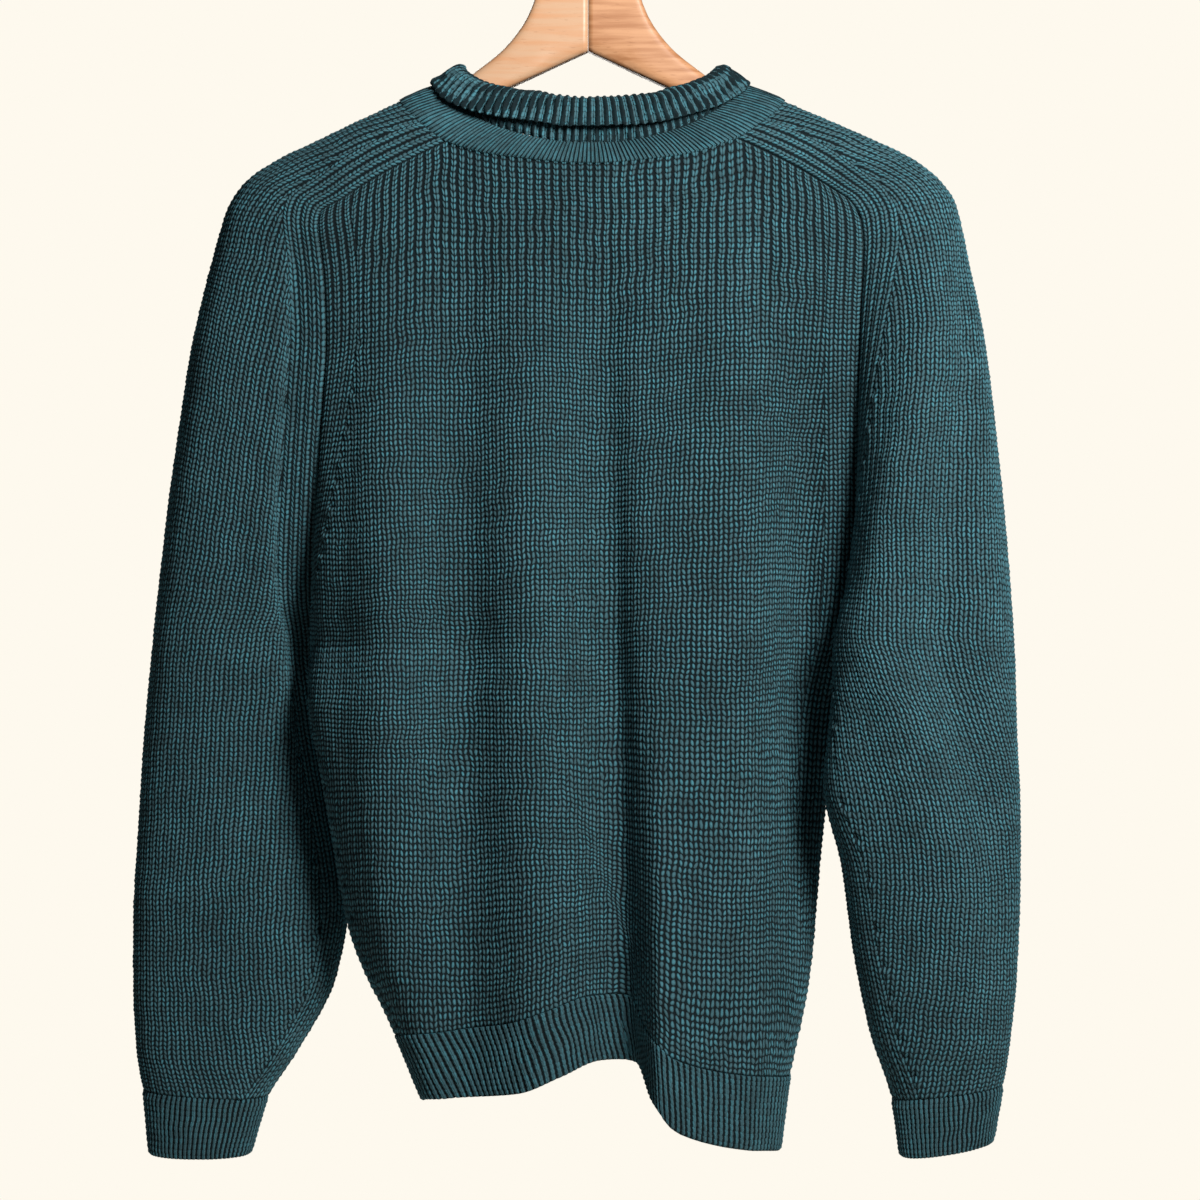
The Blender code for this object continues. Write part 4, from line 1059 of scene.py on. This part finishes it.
def grid_wobble(grid, v, seed, rows_of_sag):
    """Moves wales and courses by a fraction of a stitch, as hand and wear leave them."""
    beside = np.minimum(grid.s, grid.lengths[:, -1:] - grid.s)
    ends = np.minimum(v, v[-1] - v)[:, None]
    # Courses stay where they are within 8 mm of a seam and in the first and last rows
    fade = np.clip((beside - 8.0) / 30.0, 0, 1) * np.clip(ends / 8.0, 0, 1)
    grid.sag = rows_of_sag * waves(grid.u, v[:, None] * 0.6, 9, 30.0, seed + 200) * fade
    sideways = WALE_WOBBLE * waves(grid.u * 0.8, v[:, None], 10, 18.0, seed)
    low, high = grid.edge, grid.high[:, None]
    near = np.minimum(grid.s - low, high - grid.s)
    sideways *= np.clip(near / 12.0, 0, 1)
    grid.s = np.clip(grid.s + sideways, 0, grid.lengths[:, -1:])
    inside = slice(grid.left_column + 1, grid.right_column)
    grid.s[:, inside] = np.clip(grid.s[:, inside], low, high)


def sleeve_lines(side, stations):
    parts = np.linspace(0, 1, SECTION_POINTS // 2 + 1)
    return np.array([sleeve_line(side, at, parts) for at in stations])


def make_sleeve(side, material, seams):
    coarse = np.linspace(0, CUFF_TOP, 96)
    lines = sleeve_lines(side, coarse)
    outside, seam = lengths_along(lines[:, lines.shape[1] // 2]), lengths_along(lines[:, 0])
    # The outside of the arm is longer than its seam, so the courses are spaced between the two
    levels, v = even_courses(outside * 0.6 + seam * 0.4, coarse, SLEEVE_COURSE)
    grid = KnitGrid(sleeve_lines(side, levels), [(0, pin_in_middle)], SLEEVE_WALE)
    height = knit_height(grid, v, 21 if side == "left" else 22, SLEEVE_LOOKS)
    edges = sleeve_edges(side, levels, seams)
    flip = FLIPPED_SLEEVES[side]
    piece = knit_object(side + "_sleeve_knit", grid, v, height, flip, material, edges)
    dress(piece, side + "_sleeve")


def rib_relief(u, high, low):
    """Ribs with narrow deep gaps between them."""
    phase = np.abs(u - np.floor(u) - 0.5) * 2
    return high - (high - low) * phase**3


def rib_grid(lines, ribs):
    """A grid with the same number of ribs in each row, evenly spaced."""
    grid = KnitGrid(lines, [(0, pin_in_middle)], 1.0, 0, 1)
    columns = ribs * RIB_STEPS + 1
    part = np.linspace(0, 1, columns)
    grid.u = np.broadcast_to(part * ribs, (len(lines), columns)).copy()
    grid.s = part[None, :] * grid.lengths[:, -1:]
    grid.sag = np.zeros_like(grid.s)
    grid.left_column, grid.right_column = 0, columns - 1
    grid.edge = 0.0
    grid.high = grid.lengths[:, -1]
    return grid, part


def make_rib(name, node, lines, ribs, flip, material, seed, edges, seam_depth):
    """A welt or cuff in fine rib, from dense lines along its rows."""
    grid, part = rib_grid(lines, ribs)
    v = np.arange(len(lines)) / STEPS_PER_COURSE
    wobble = 0.6 * waves(grid.u, v[:, None], 8, 14.0, seed) * np.sin(math.pi * part)
    grid.s = np.clip(grid.s + wobble, 0, grid.lengths[:, -1:])
    height = rib_relief(grid.u, 0.5, -0.9)
    height -= 0.22 * np.cos(2 * math.pi * v)[:, None]
    height += 0.10 * waves(grid.u, v[:, None], 10, 9.0, seed + 1)
    # The free edge is rounded over its last 1.2 courses
    end = np.clip((v[-1] - v) / 1.2, 0, 1)
    height -= (1 - np.sqrt(end * (2 - end)))[:, None] * 1.1
    height += seam_gutter(v * SLEEVE_COURSE, seam_depth, 2.4)[:, None]
    piece = knit_object(name, grid, v, height, flip, material, edges, (6, ribs // 2))
    dress(piece, node)


def make_welt(which, material, seams):
    levels = np.linspace(WELT_TOP, HEM, int(WELT_LONG / BODY_COURSE * STEPS_PER_COURSE))
    make_rib(
        which + "_rib_hem", which + "_welt", panel_lines(which, levels), WELT_RIBS,
        FLIPPED_PANELS[which], material, 31 if which == "back" else 32,
        panel_edges(which, levels, seams), 0.15,
    )


def make_cuff(side, material, seams):
    levels = np.linspace(CUFF_TOP, CUFF_END, int(CUFF_LONG / SLEEVE_COURSE * STEPS_PER_COURSE))
    make_rib(
        side + "_rib_cuff", side + "_cuff", sleeve_lines(side, levels), CUFF_RIBS,
        FLIPPED_SLEEVES[side], material, 41 if side == "left" else 42,
        sleeve_edges(side, levels, seams), 1.5,
    )


def closed_curve(values, at):
    """Smooth closed curve through values at whole numbers, read at these places."""
    values = np.asarray(values, float)
    count = len(values)
    whole = np.floor(at).astype(int)
    f = (at - whole)[:, None]
    p0, p1, p2, p3 = (values[(whole + k) % count] for k in (-1, 0, 1, 2))
    return 0.5 * (
        2 * p1 + (p2 - p0) * f + (2 * p0 - 5 * p1 + 4 * p2 - p3) * f**2
        + (3 * p1 - p0 - 3 * p2 + p3) * f**3
    )


def ring(size, angles):
    """A closed ring of the collar from its sizes at these angles in degrees."""
    turn = np.radians(angles)
    c, s = np.cos(turn), np.sin(turn)
    half, back, front, side_z, back_z, front_z, power = size[:7]
    depth = np.where(s < 0, back, front)
    end_z = np.where(s < 0, back_z, front_z)
    power = np.where(s < 0, power, power + FRONT_POWER_MORE)
    z = side_z + (end_z - side_z) * np.abs(s) ** power
    return np.stack([NECK_CENTRE_X + half * c, depth * s, z], axis=1)


def even_angles(count):
    """Angles that space points evenly round the collar."""
    fine = np.linspace(0, 360, 1441)
    length = lengths_along(ring(COLLAR_RINGS[4], fine)[:, :2])
    return np.interp(np.arange(count) * length[-1] / count, length, fine)


def loop_normals(loops):
    down = np.roll(loops, -1, axis=0) - np.roll(loops, 1, axis=0)
    across = np.roll(loops, -1, axis=1) - np.roll(loops, 1, axis=1)
    return -unit(np.cross(across, down))


def loop_object(name, loops, u, v, material):
    """A closed tube of loops, each point given its place among the stitches."""
    rows, count = loops.shape[:2]
    ids = np.arange(rows * count).reshape(rows, count)
    ids = np.pad(ids, ((0, 1), (0, 1)), mode="wrap")
    u, v = (np.append(line, 2 * line[-1] - line[-2]) for line in (u, v))
    places = np.stack(np.meshgrid(u, v), axis=-1)
    faces, uv = split_squares(ids, places, ((0, 3, 2), (0, 2, 1)))
    return mesh_object(name, loops.reshape(-1, 3), faces, material, uv)


def collar_rib(u):
    """Two strands side by side, then a wide gap."""
    phase = np.abs(u - np.floor(u) - 0.5) * 2
    fall = eased(np.clip((phase - 0.3) / 0.5, 0, 1))
    return 1.1 - 2.1 * fall - 0.35 * np.clip(1 - phase / 0.22, 0, 1)


def make_collar(material):
    """The coarse rib collar: a stand that rolls over outward, as one closed tube."""
    count = COLLAR_RIBS * COLLAR_STEPS
    angles = even_angles(count)
    sizes = np.array(COLLAR_RINGS)
    at = np.linspace(0, len(sizes), COLLAR_ROWS, endpoint=False)
    profile = closed_curve(sizes, at)
    loops = np.array([ring(size, angles) for size in profile])
    u = np.arange(count) / COLLAR_STEPS
    v = np.arange(COLLAR_ROWS) * COLLAR_COURSES / COLLAR_ROWS
    across, down = u[None, :], v[:, None]
    normal = loop_normals(loops)
    turned = 0.2 * waves(across * 0.5, down, 8, 9.0, 53)
    rib = collar_rib(across + turned)
    # The rib is strong where the table says so, and weak on the rims, which face up or down
    rib_share = np.clip(profile[:, 7], 0, 1)[:, None]
    rib = rib * (0.2 + 0.8 * rib_share * (1 - 0.7 * np.abs(normal[:, :, 2]) ** 3))
    uneven = 0.35 * waves(across, down, 10, 12.0, 51)
    loops = loops + normal * (rib + uneven)[:, :, None]
    loops[:, :, 2] += 0.8 * waves(across, 0 * down, 8, 24.0, 52)
    piece = loop_object("collar_knit", loops, u, v, material)
    dress(piece, "rolled_collar")


def make_neck_band(material):
    """The linked band over the neck seam, in fine upright ribs, with a chain along its foot."""
    count = BAND_RIBS * BAND_STEPS
    angles = even_angles(count)
    low = neck_point(angles)
    top = ring(BAND_TOP, angles)
    turn = np.radians(angles)
    # Which way the band's thickness goes: mostly up over the shoulders, mostly out at back and front
    lift = 0.25 + 0.75 * np.cos(turn) ** 2
    way = unit(np.stack([np.cos(turn) / 116.0, np.sin(turn) / 45.0, np.zeros(count)], axis=1))
    thick = way * np.sqrt(1 - (lift * 0.9) ** 2)[:, None]
    thick[:, 2] = lift * 0.9
    low = low - (top - low) * 0.12 + thick * 0.5
    inner_low, inner_top = low - (WALL + 0.3) * thick, ring(BAND_TOP_INSIDE, angles)
    outside = np.linspace(0, 1, BAND_ROWS)
    rows = [low + (top - low) * part + thick * 0.9 * math.sin(math.pi * part) for part in outside]
    loops = np.array(rows + [inner_top, (inner_top + inner_low) / 2, inner_low])
    u = np.arange(count) / BAND_STEPS
    v = np.arange(len(loops)) * 0.6
    strength = np.array([0.6] + [1.0] * (BAND_ROWS - 2) + [0.6, 0, 0, 0])[:, None]
    rib = rib_relief(u, 0.35, -0.8)[None, :] * strength
    # One link of the chain to every two ribs
    chain = 0.8 * np.sin(math.pi * u / 2) ** 2
    rib[:2] += np.array([1.0, 0.5])[:, None] * chain - 0.2
    uneven = 0.2 * waves(u[None, :] * 0.4, v[:, None], 10, 9.0, 61) * strength
    loops = loops + loop_normals(loops) * (rib + uneven)[:, :, None]
    piece = loop_object("neck_band_knit", loops, u, v, material)
    dress(piece, "neck_band")


def dress(piece, node):
    """Hangs a knitted piece on the root and hides the solid that it stands for."""
    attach(piece, "root")
    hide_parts(node)


def wood_rows(side):
    """Stations along one arm of the hanger. From the shoulder out it keeps below the cloth."""
    lines = sleeve_lines(side, np.arange(SADDLE_SPANS + 4))
    normals = surface_normals(lines, FLIPPED_SLEEVES[side])
    inside = lines[:, lines.shape[1] // 2] - WALL * normals[:, normals.shape[1] // 2]
    rows = [dict(zip(WOOD_COLUMNS, row)) for row in WOOD_ROWS]
    middle, last = rows[0], rows[-1]
    for x in np.linspace(WOOD_ARM_FROM, WOOD_TIP_X, 9):
        part = (x - last["x"]) / (WOOD_TIP_X - last["x"])
        half = last["half_thick"] + part * (WOOD_TIP_HALF_THICK - last["half_thick"])
        crest = float(np.interp(x, np.abs(inside[:, 0]), inside[:, 2]))
        top = crest - WOOD_BELOW_CLOTH - WOOD_BELOW_SADDLE * max(0.0, 1.0 - part * 2.5)
        low = min(middle["low_z"] - WOOD_ARM_SLOPE * x, top - WOOD_LEAST_HIGH)
        rows.append(dict(zip(WOOD_COLUMNS, (x, top, low, half, WOOD_ARM_SQUARE))))
    tip = rows[-1]
    for out, shrink in WOOD_TIP_ROUNDING:
        middle_z = (tip["top_z"] + tip["low_z"]) / 2 - out * 0.7
        half_height = (tip["top_z"] - tip["low_z"]) / 2 * shrink
        row = (
            WOOD_TIP_X + out, middle_z + half_height, middle_z - half_height,
            tip["half_thick"] * shrink, WOOD_ARM_SQUARE,
        )
        rows.append(dict(zip(WOOD_COLUMNS, row)))
    return rows


def tube_object(name, loops, material):
    """A closed solid from loops of points with a fan at each end."""
    rows, count = loops.shape[:2]
    ids = np.arange(rows * count).reshape(rows, count)
    right = np.roll(ids, -1, axis=1)
    a, b, c, d = (part.reshape(-1) for part in (ids[:-1], right[:-1], right[1:], ids[1:]))
    sides = np.concatenate([np.stack([a, b, c], -1), np.stack([a, c, d], -1)])
    points = np.concatenate([loops.reshape(-1, 3), loops[[0, -1]].mean(axis=1)])
    near, far = rows * count, rows * count + 1
    caps = [(near, right[0, k], ids[0, k]) for k in range(count)]
    caps += [(far, ids[-1, k], right[-1, k]) for k in range(count)]
    return mesh_object(name, points, np.concatenate([sides, caps]), material)


def make_hanger_arm(side, material):
    """One board of the hanger, from the mitre at the middle out to its rounded tip."""
    way = -1.0 if side == "left" else 1.0
    rows = wood_rows(side)
    x = np.array([row["x"] for row in rows])
    fine_x = np.unique(np.concatenate([np.linspace(x[0], x[-3], 60), x[-3:]]))
    fine_x[0] = MITRE_HALF_GAP
    turn = (np.arange(WOOD_SIDES) + 0.5) / WOOD_SIDES * 2 * math.pi
    loops = []
    for at in fine_x:
        top_z, low_z, half_thick, square = (
            float(smooth(np.array(at), x, np.array([row[name] for row in rows])))
            for name in WOOD_COLUMNS[1:]
        )
        c, s = squarish(turn, square)
        z = (top_z + low_z) / 2 + (top_z - low_z) / 2 * s
        loops.append(np.stack([np.full(len(c), way * at), half_thick * c, z], axis=1))
    loops = np.array(loops)
    piece = tube_object(side + "_arm", loops if side == "right" else loops[:, ::-1], material)
    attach(piece, "root")
    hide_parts(side + "_hanger_arm")


class Graph:
    """Adds shader nodes to a material and joins them in one step."""

    def __init__(self, name):
        self.material = bpy.data.materials.new(name)
        self.material.use_nodes = True
        self.tree = self.material.node_tree
        self.shader = self.tree.nodes["Principled BSDF"]

    def add(self, kind, inputs=(), output=0, **settings):
        node = self.tree.nodes.new(kind)
        for key, value in settings.items():
            setattr(node, key, value)
        for key, value in dict(inputs).items():
            if isinstance(value, bpy.types.NodeSocket):
                self.tree.links.new(value, node.inputs[key])
            else:
                node.inputs[key].default_value = value
        return node.outputs[output]

    def math(self, operation, *values):
        return self.add("ShaderNodeMath", dict(enumerate(values)), operation=operation)

    def scaled(self, value, times, plus):
        return self.math("MULTIPLY_ADD", value, times, plus)

    def where(self):
        """The place on the object, which stays put in every view."""
        return self.add("ShaderNodeTexCoord", output=3)

    def bump(self, height, distance, strength):
        inputs = {"Height": height, "Distance": distance, "Strength": strength}
        return self.add("ShaderNodeBump", inputs)

    def set(self, **values):
        for key, value in values.items():
            name = key.replace("_", " ")
            if isinstance(value, bpy.types.NodeSocket):
                self.tree.links.new(value, self.shader.inputs[name])
            else:
                self.shader.inputs[name].default_value = value

    def mix(self, factor, first, second):
        return self.add(
            "ShaderNodeMix", {0: factor, 6: first, 7: second}, output=2, data_type="RGBA"
        )

    def range(self, value, low, high, to_low=0.0, to_high=1.0):
        return self.add(
            "ShaderNodeMapRange", {0: value, 1: low, 2: high, 3: to_low, 4: to_high},
            interpolation_type="SMOOTHSTEP",
        )

    def noise(self, vector, scale, detail=2.0):
        inputs = {"Vector": vector, "Scale": scale, "Detail": detail}
        return self.add("ShaderNodeTexNoise", inputs)


def yarn_material(name, legs, leg_long, course_gap, gap, painted_shade_factor=1.0):
    """Wool knit: the legs of each stitch lean together over gaps painted dark as shade, with fibres all
    over.
    """
    middle, half_width, lean, opening = legs
    g = Graph(name)
    split = g.tree.nodes.new("ShaderNodeSeparateXYZ")
    g.tree.links.new(g.add("ShaderNodeUVMap", uv_map="stitches"), split.inputs[0])
    stitch_u, stitch_v = split.outputs[0], split.outputs[1]
    where = g.where()
    slow = g.noise(where, 70.0, 1.0)
    quick = g.noise(where, 190.0, 1.0)
    fibre = g.noise(where, 1500.0, 3.0)
    cloud = g.noise(where, 16.0, 2.0)
    patch = g.noise(where, 55.0, 3.0)

    # The place among the stitches, moved about so that no two are alike
    u = g.math("ADD", stitch_u, g.scaled(quick, 0.14, -0.07))
    v = g.math("ADD", stitch_v, g.scaled(slow, 0.9, -0.45))
    v = g.math("ADD", v, g.scaled(quick, 0.4, -0.2))
    leg_number = g.math("FLOOR", g.math("MULTIPLY", u, 2.0))
    cell = g.add("ShaderNodeCombineXYZ", {0: leg_number, 1: g.math("FLOOR", v)})
    dice = g.add("ShaderNodeTexWhiteNoise", {"Vector": cell}, noise_dimensions="2D")

    # Each leg is a leaning oval, nearer to the middle of the wale where the knit is drawn open
    across = g.math("ABSOLUTE", g.math("SUBTRACT", g.math("FRACT", u), 0.5))
    along = g.math("SUBTRACT", g.math("FRACT", v), 0.5)
    middle = g.scaled(g.range(stitch_v, CLOSED_FROM, OPEN_UNTIL), -opening, middle)
    off = g.math("SUBTRACT", across, g.scaled(along, -lean, middle))
    off = g.math("DIVIDE", off, half_width)
    end = g.math("DIVIDE", along, leg_long)
    reach = g.math("ADD", g.math("MULTIPLY", off, off), g.math("MULTIPLY", end, end))
    reach = g.math("MULTIPLY", reach, g.scaled(dice, 0.35, 0.85))
    leg = g.math("POWER", g.math("MAXIMUM", g.math("SUBTRACT", 1.0, reach), 0.0), 0.6)

    # Colour from the painted shade of the gap up to the crown of the leg, where the leg is painted
    # lightest, as light falls on a round strand. Each stitch, patch and fibre has its own tone, and the
    # yarn's last factor darkens it all as painted shade.
    colour = g.mix(g.range(leg, 0.0, course_gap), (*gap, 1.0), (*YARN, 1.0))
    bright = g.scaled(dice, 0.6 * painted_shade_factor, 0.7 * painted_shade_factor)
    for source, times, plus in ((patch, 0.9, 0.55), (fibre, 0.9, 0.55), (cloud, 0.4, 0.8)):
        bright = g.math("MULTIPLY", bright, g.scaled(source, times, plus))
    colour = g.add(
        "ShaderNodeHueSaturation",
        {"Color": colour, "Value": bright, "Saturation": g.scaled(dice, 0.15, 0.9)},
    )
    bump = g.bump(g.scaled(fibre, 0.30, leg), 0.0013, 1.0)
    g.set(
        Base_Color=colour, Roughness=g.scaled(fibre, 0.2, 0.78), Normal=bump,
        Sheen_Weight=0.14, Sheen_Roughness=0.5, Sheen_Tint=(0.45, 0.85, 0.95, 1.0),
        Specular_IOR_Level=0.2,
    )
    return g.material


def wood_material(name, light, dark, way):
    """Lacquered beech: fine grain along the arm, small darker flecks and a soft gloss."""
    g = Graph(name)
    where = g.where()
    slant = (0.0, way * math.radians(38), 0.0)
    along_grain, along_fleck = (
        g.add("ShaderNodeMapping", {"Vector": where, "Rotation": slant, "Scale": scale})
        for scale in ((5.0, 60.0, 70.0), (150.0, 900.0, 1100.0))
    )
    grain = g.noise(along_grain, 4.0, 5.0)
    fleck = g.noise(along_fleck, 1.0, 1.0)
    colour = g.mix(g.range(grain, 0.35, 0.70), (*light, 1.0), (*dark, 1.0))
    spot = g.range(fleck, 0.62, 0.78, 0.0, 0.35)
    colour = g.mix(spot, colour, (dark[0] * 0.55, dark[1] * 0.45, dark[2] * 0.4, 1.0))
    bump = g.bump(g.scaled(fleck, -0.4, grain), 0.0002, 0.35)
    rough = g.scaled(grain, 0.2, 0.35)
    g.set(Base_Color=colour, Roughness=rough, Normal=bump, Coat_Weight=0.15, Coat_Roughness=0.3)
    return g.material


def steel_material():
    """Drawn wire: bright metal with faint streaks."""
    g = Graph("hook_steel")
    streak = g.noise(g.where(), 260.0, 4.0)
    colour = g.mix(streak, (0.50, 0.50, 0.51, 1.0), (0.68, 0.68, 0.69, 1.0))
    rough = g.scaled(streak, 0.2, 0.18)
    g.set(Base_Color=colour, Metallic=1.0, Roughness=rough, Normal=g.bump(streak, 0.00005, 0.3))
    return g.material


def make_floor():
    """A pale disc well below the garment."""
    turn = np.linspace(0, 2 * math.pi, 64, endpoint=False)
    rim = np.stack([np.cos(turn), np.sin(turn), np.zeros(64)], axis=1) * FLOOR_RADIUS
    points = np.concatenate([rim, np.zeros((1, 3))]) + (0.0, 0.0, FLOOR_Z)
    faces = [(k, (k + 1) % 64, 64) for k in range(64)]
    g = Graph("floor_paint")
    rough = g.scaled(g.noise(g.where(), 3.0), 0.1, 0.85)
    g.set(Base_Color=(0.9, 0.87, 0.81, 1.0), Roughness=rough)
    mesh_object("floor", points, faces, g.material)


def make_camera():
    data = bpy.data.cameras.new("camera")
    data.sensor_width = 36.0
    data.lens = 36.0 * CAMERA_DISTANCE / VIEW_WIDTH
    camera = bpy.data.objects.new("camera", data)
    camera.location = (CAMERA_X * MM, -CAMERA_DISTANCE * MM, CAMERA_Z * MM)
    camera.rotation_euler = (math.pi / 2, 0.0, 0.0)
    bpy.context.scene.collection.objects.link(camera)
    bpy.context.scene.camera = camera


def make_area_light(name, place, size, power, colour):
    data = bpy.data.lights.new(name, "AREA")
    data.shape = "DISK"
    data.size = size
    data.energy = power
    data.color = colour
    light = bpy.data.objects.new(name, data)
    light.location = place
    aim = np.array(LIGHT_AIM) - np.array(place)
    yaw = math.atan2(aim[1], aim[0]) - math.pi / 2
    pitch = math.atan2(aim[2], math.hypot(aim[0], aim[1]))
    light.rotation_euler = (math.pi / 2 + pitch, 0.0, yaw)
    bpy.context.scene.collection.objects.link(light)


def make_world():
    """A cream studio: its light is weaker than what the camera sees behind the garment."""
    world = bpy.data.worlds.new("studio")
    world.use_nodes = True
    tree = world.node_tree
    backdrop = tree.nodes["Background"]
    backdrop.inputs["Color"].default_value = (*BACKDROP, 1.0)
    fill = tree.nodes.new("ShaderNodeBackground")
    fill.inputs["Color"].default_value = (0.95, 0.97, 1.0, 1.0)
    fill.inputs["Strength"].default_value = FILL_STRENGTH
    path = tree.nodes.new("ShaderNodeLightPath")
    mix = tree.nodes.new("ShaderNodeMixShader")
    tree.links.new(path.outputs["Is Camera Ray"], mix.inputs[0])
    tree.links.new(fill.outputs[0], mix.inputs[1])
    tree.links.new(backdrop.outputs[0], mix.inputs[2])
    tree.links.new(mix.outputs[0], tree.nodes["World Output"].inputs["Surface"])
    bpy.context.scene.world = world


def main():
    make_camera()
    make_world()
    make_floor()
    for light in LIGHTS:
        make_area_light(*light)
    bpy.context.scene.view_settings.view_transform = "Standard"
    wool = {kind: yarn_material(*row) for kind, row in YARNS.items()}
    seams, tops = seam_normals()
    for which in FLIPPED_PANELS:
        make_panel(which, wool["body"], seams, tops)
        make_welt(which, wool["rib"], seams)
    for side in FLIPPED_SLEEVES:
        make_sleeve(side, wool["sleeve"], seams)
        make_cuff(side, wool["rib"], seams)
    make_collar(wool["collar"])
    make_neck_band(wool["band"])
    # The right arm's beech is painted darker than the left arm's, as shade
    make_hanger_arm("left", wood_material("beech_left", WOOD_LIGHT, WOOD_MID, 1))
    make_hanger_arm("right", wood_material("beech_right", WOOD_MID, WOOD_DARK, -1))
    bpy.data.objects["hanger_hook"].data.materials[0] = steel_material()


main()
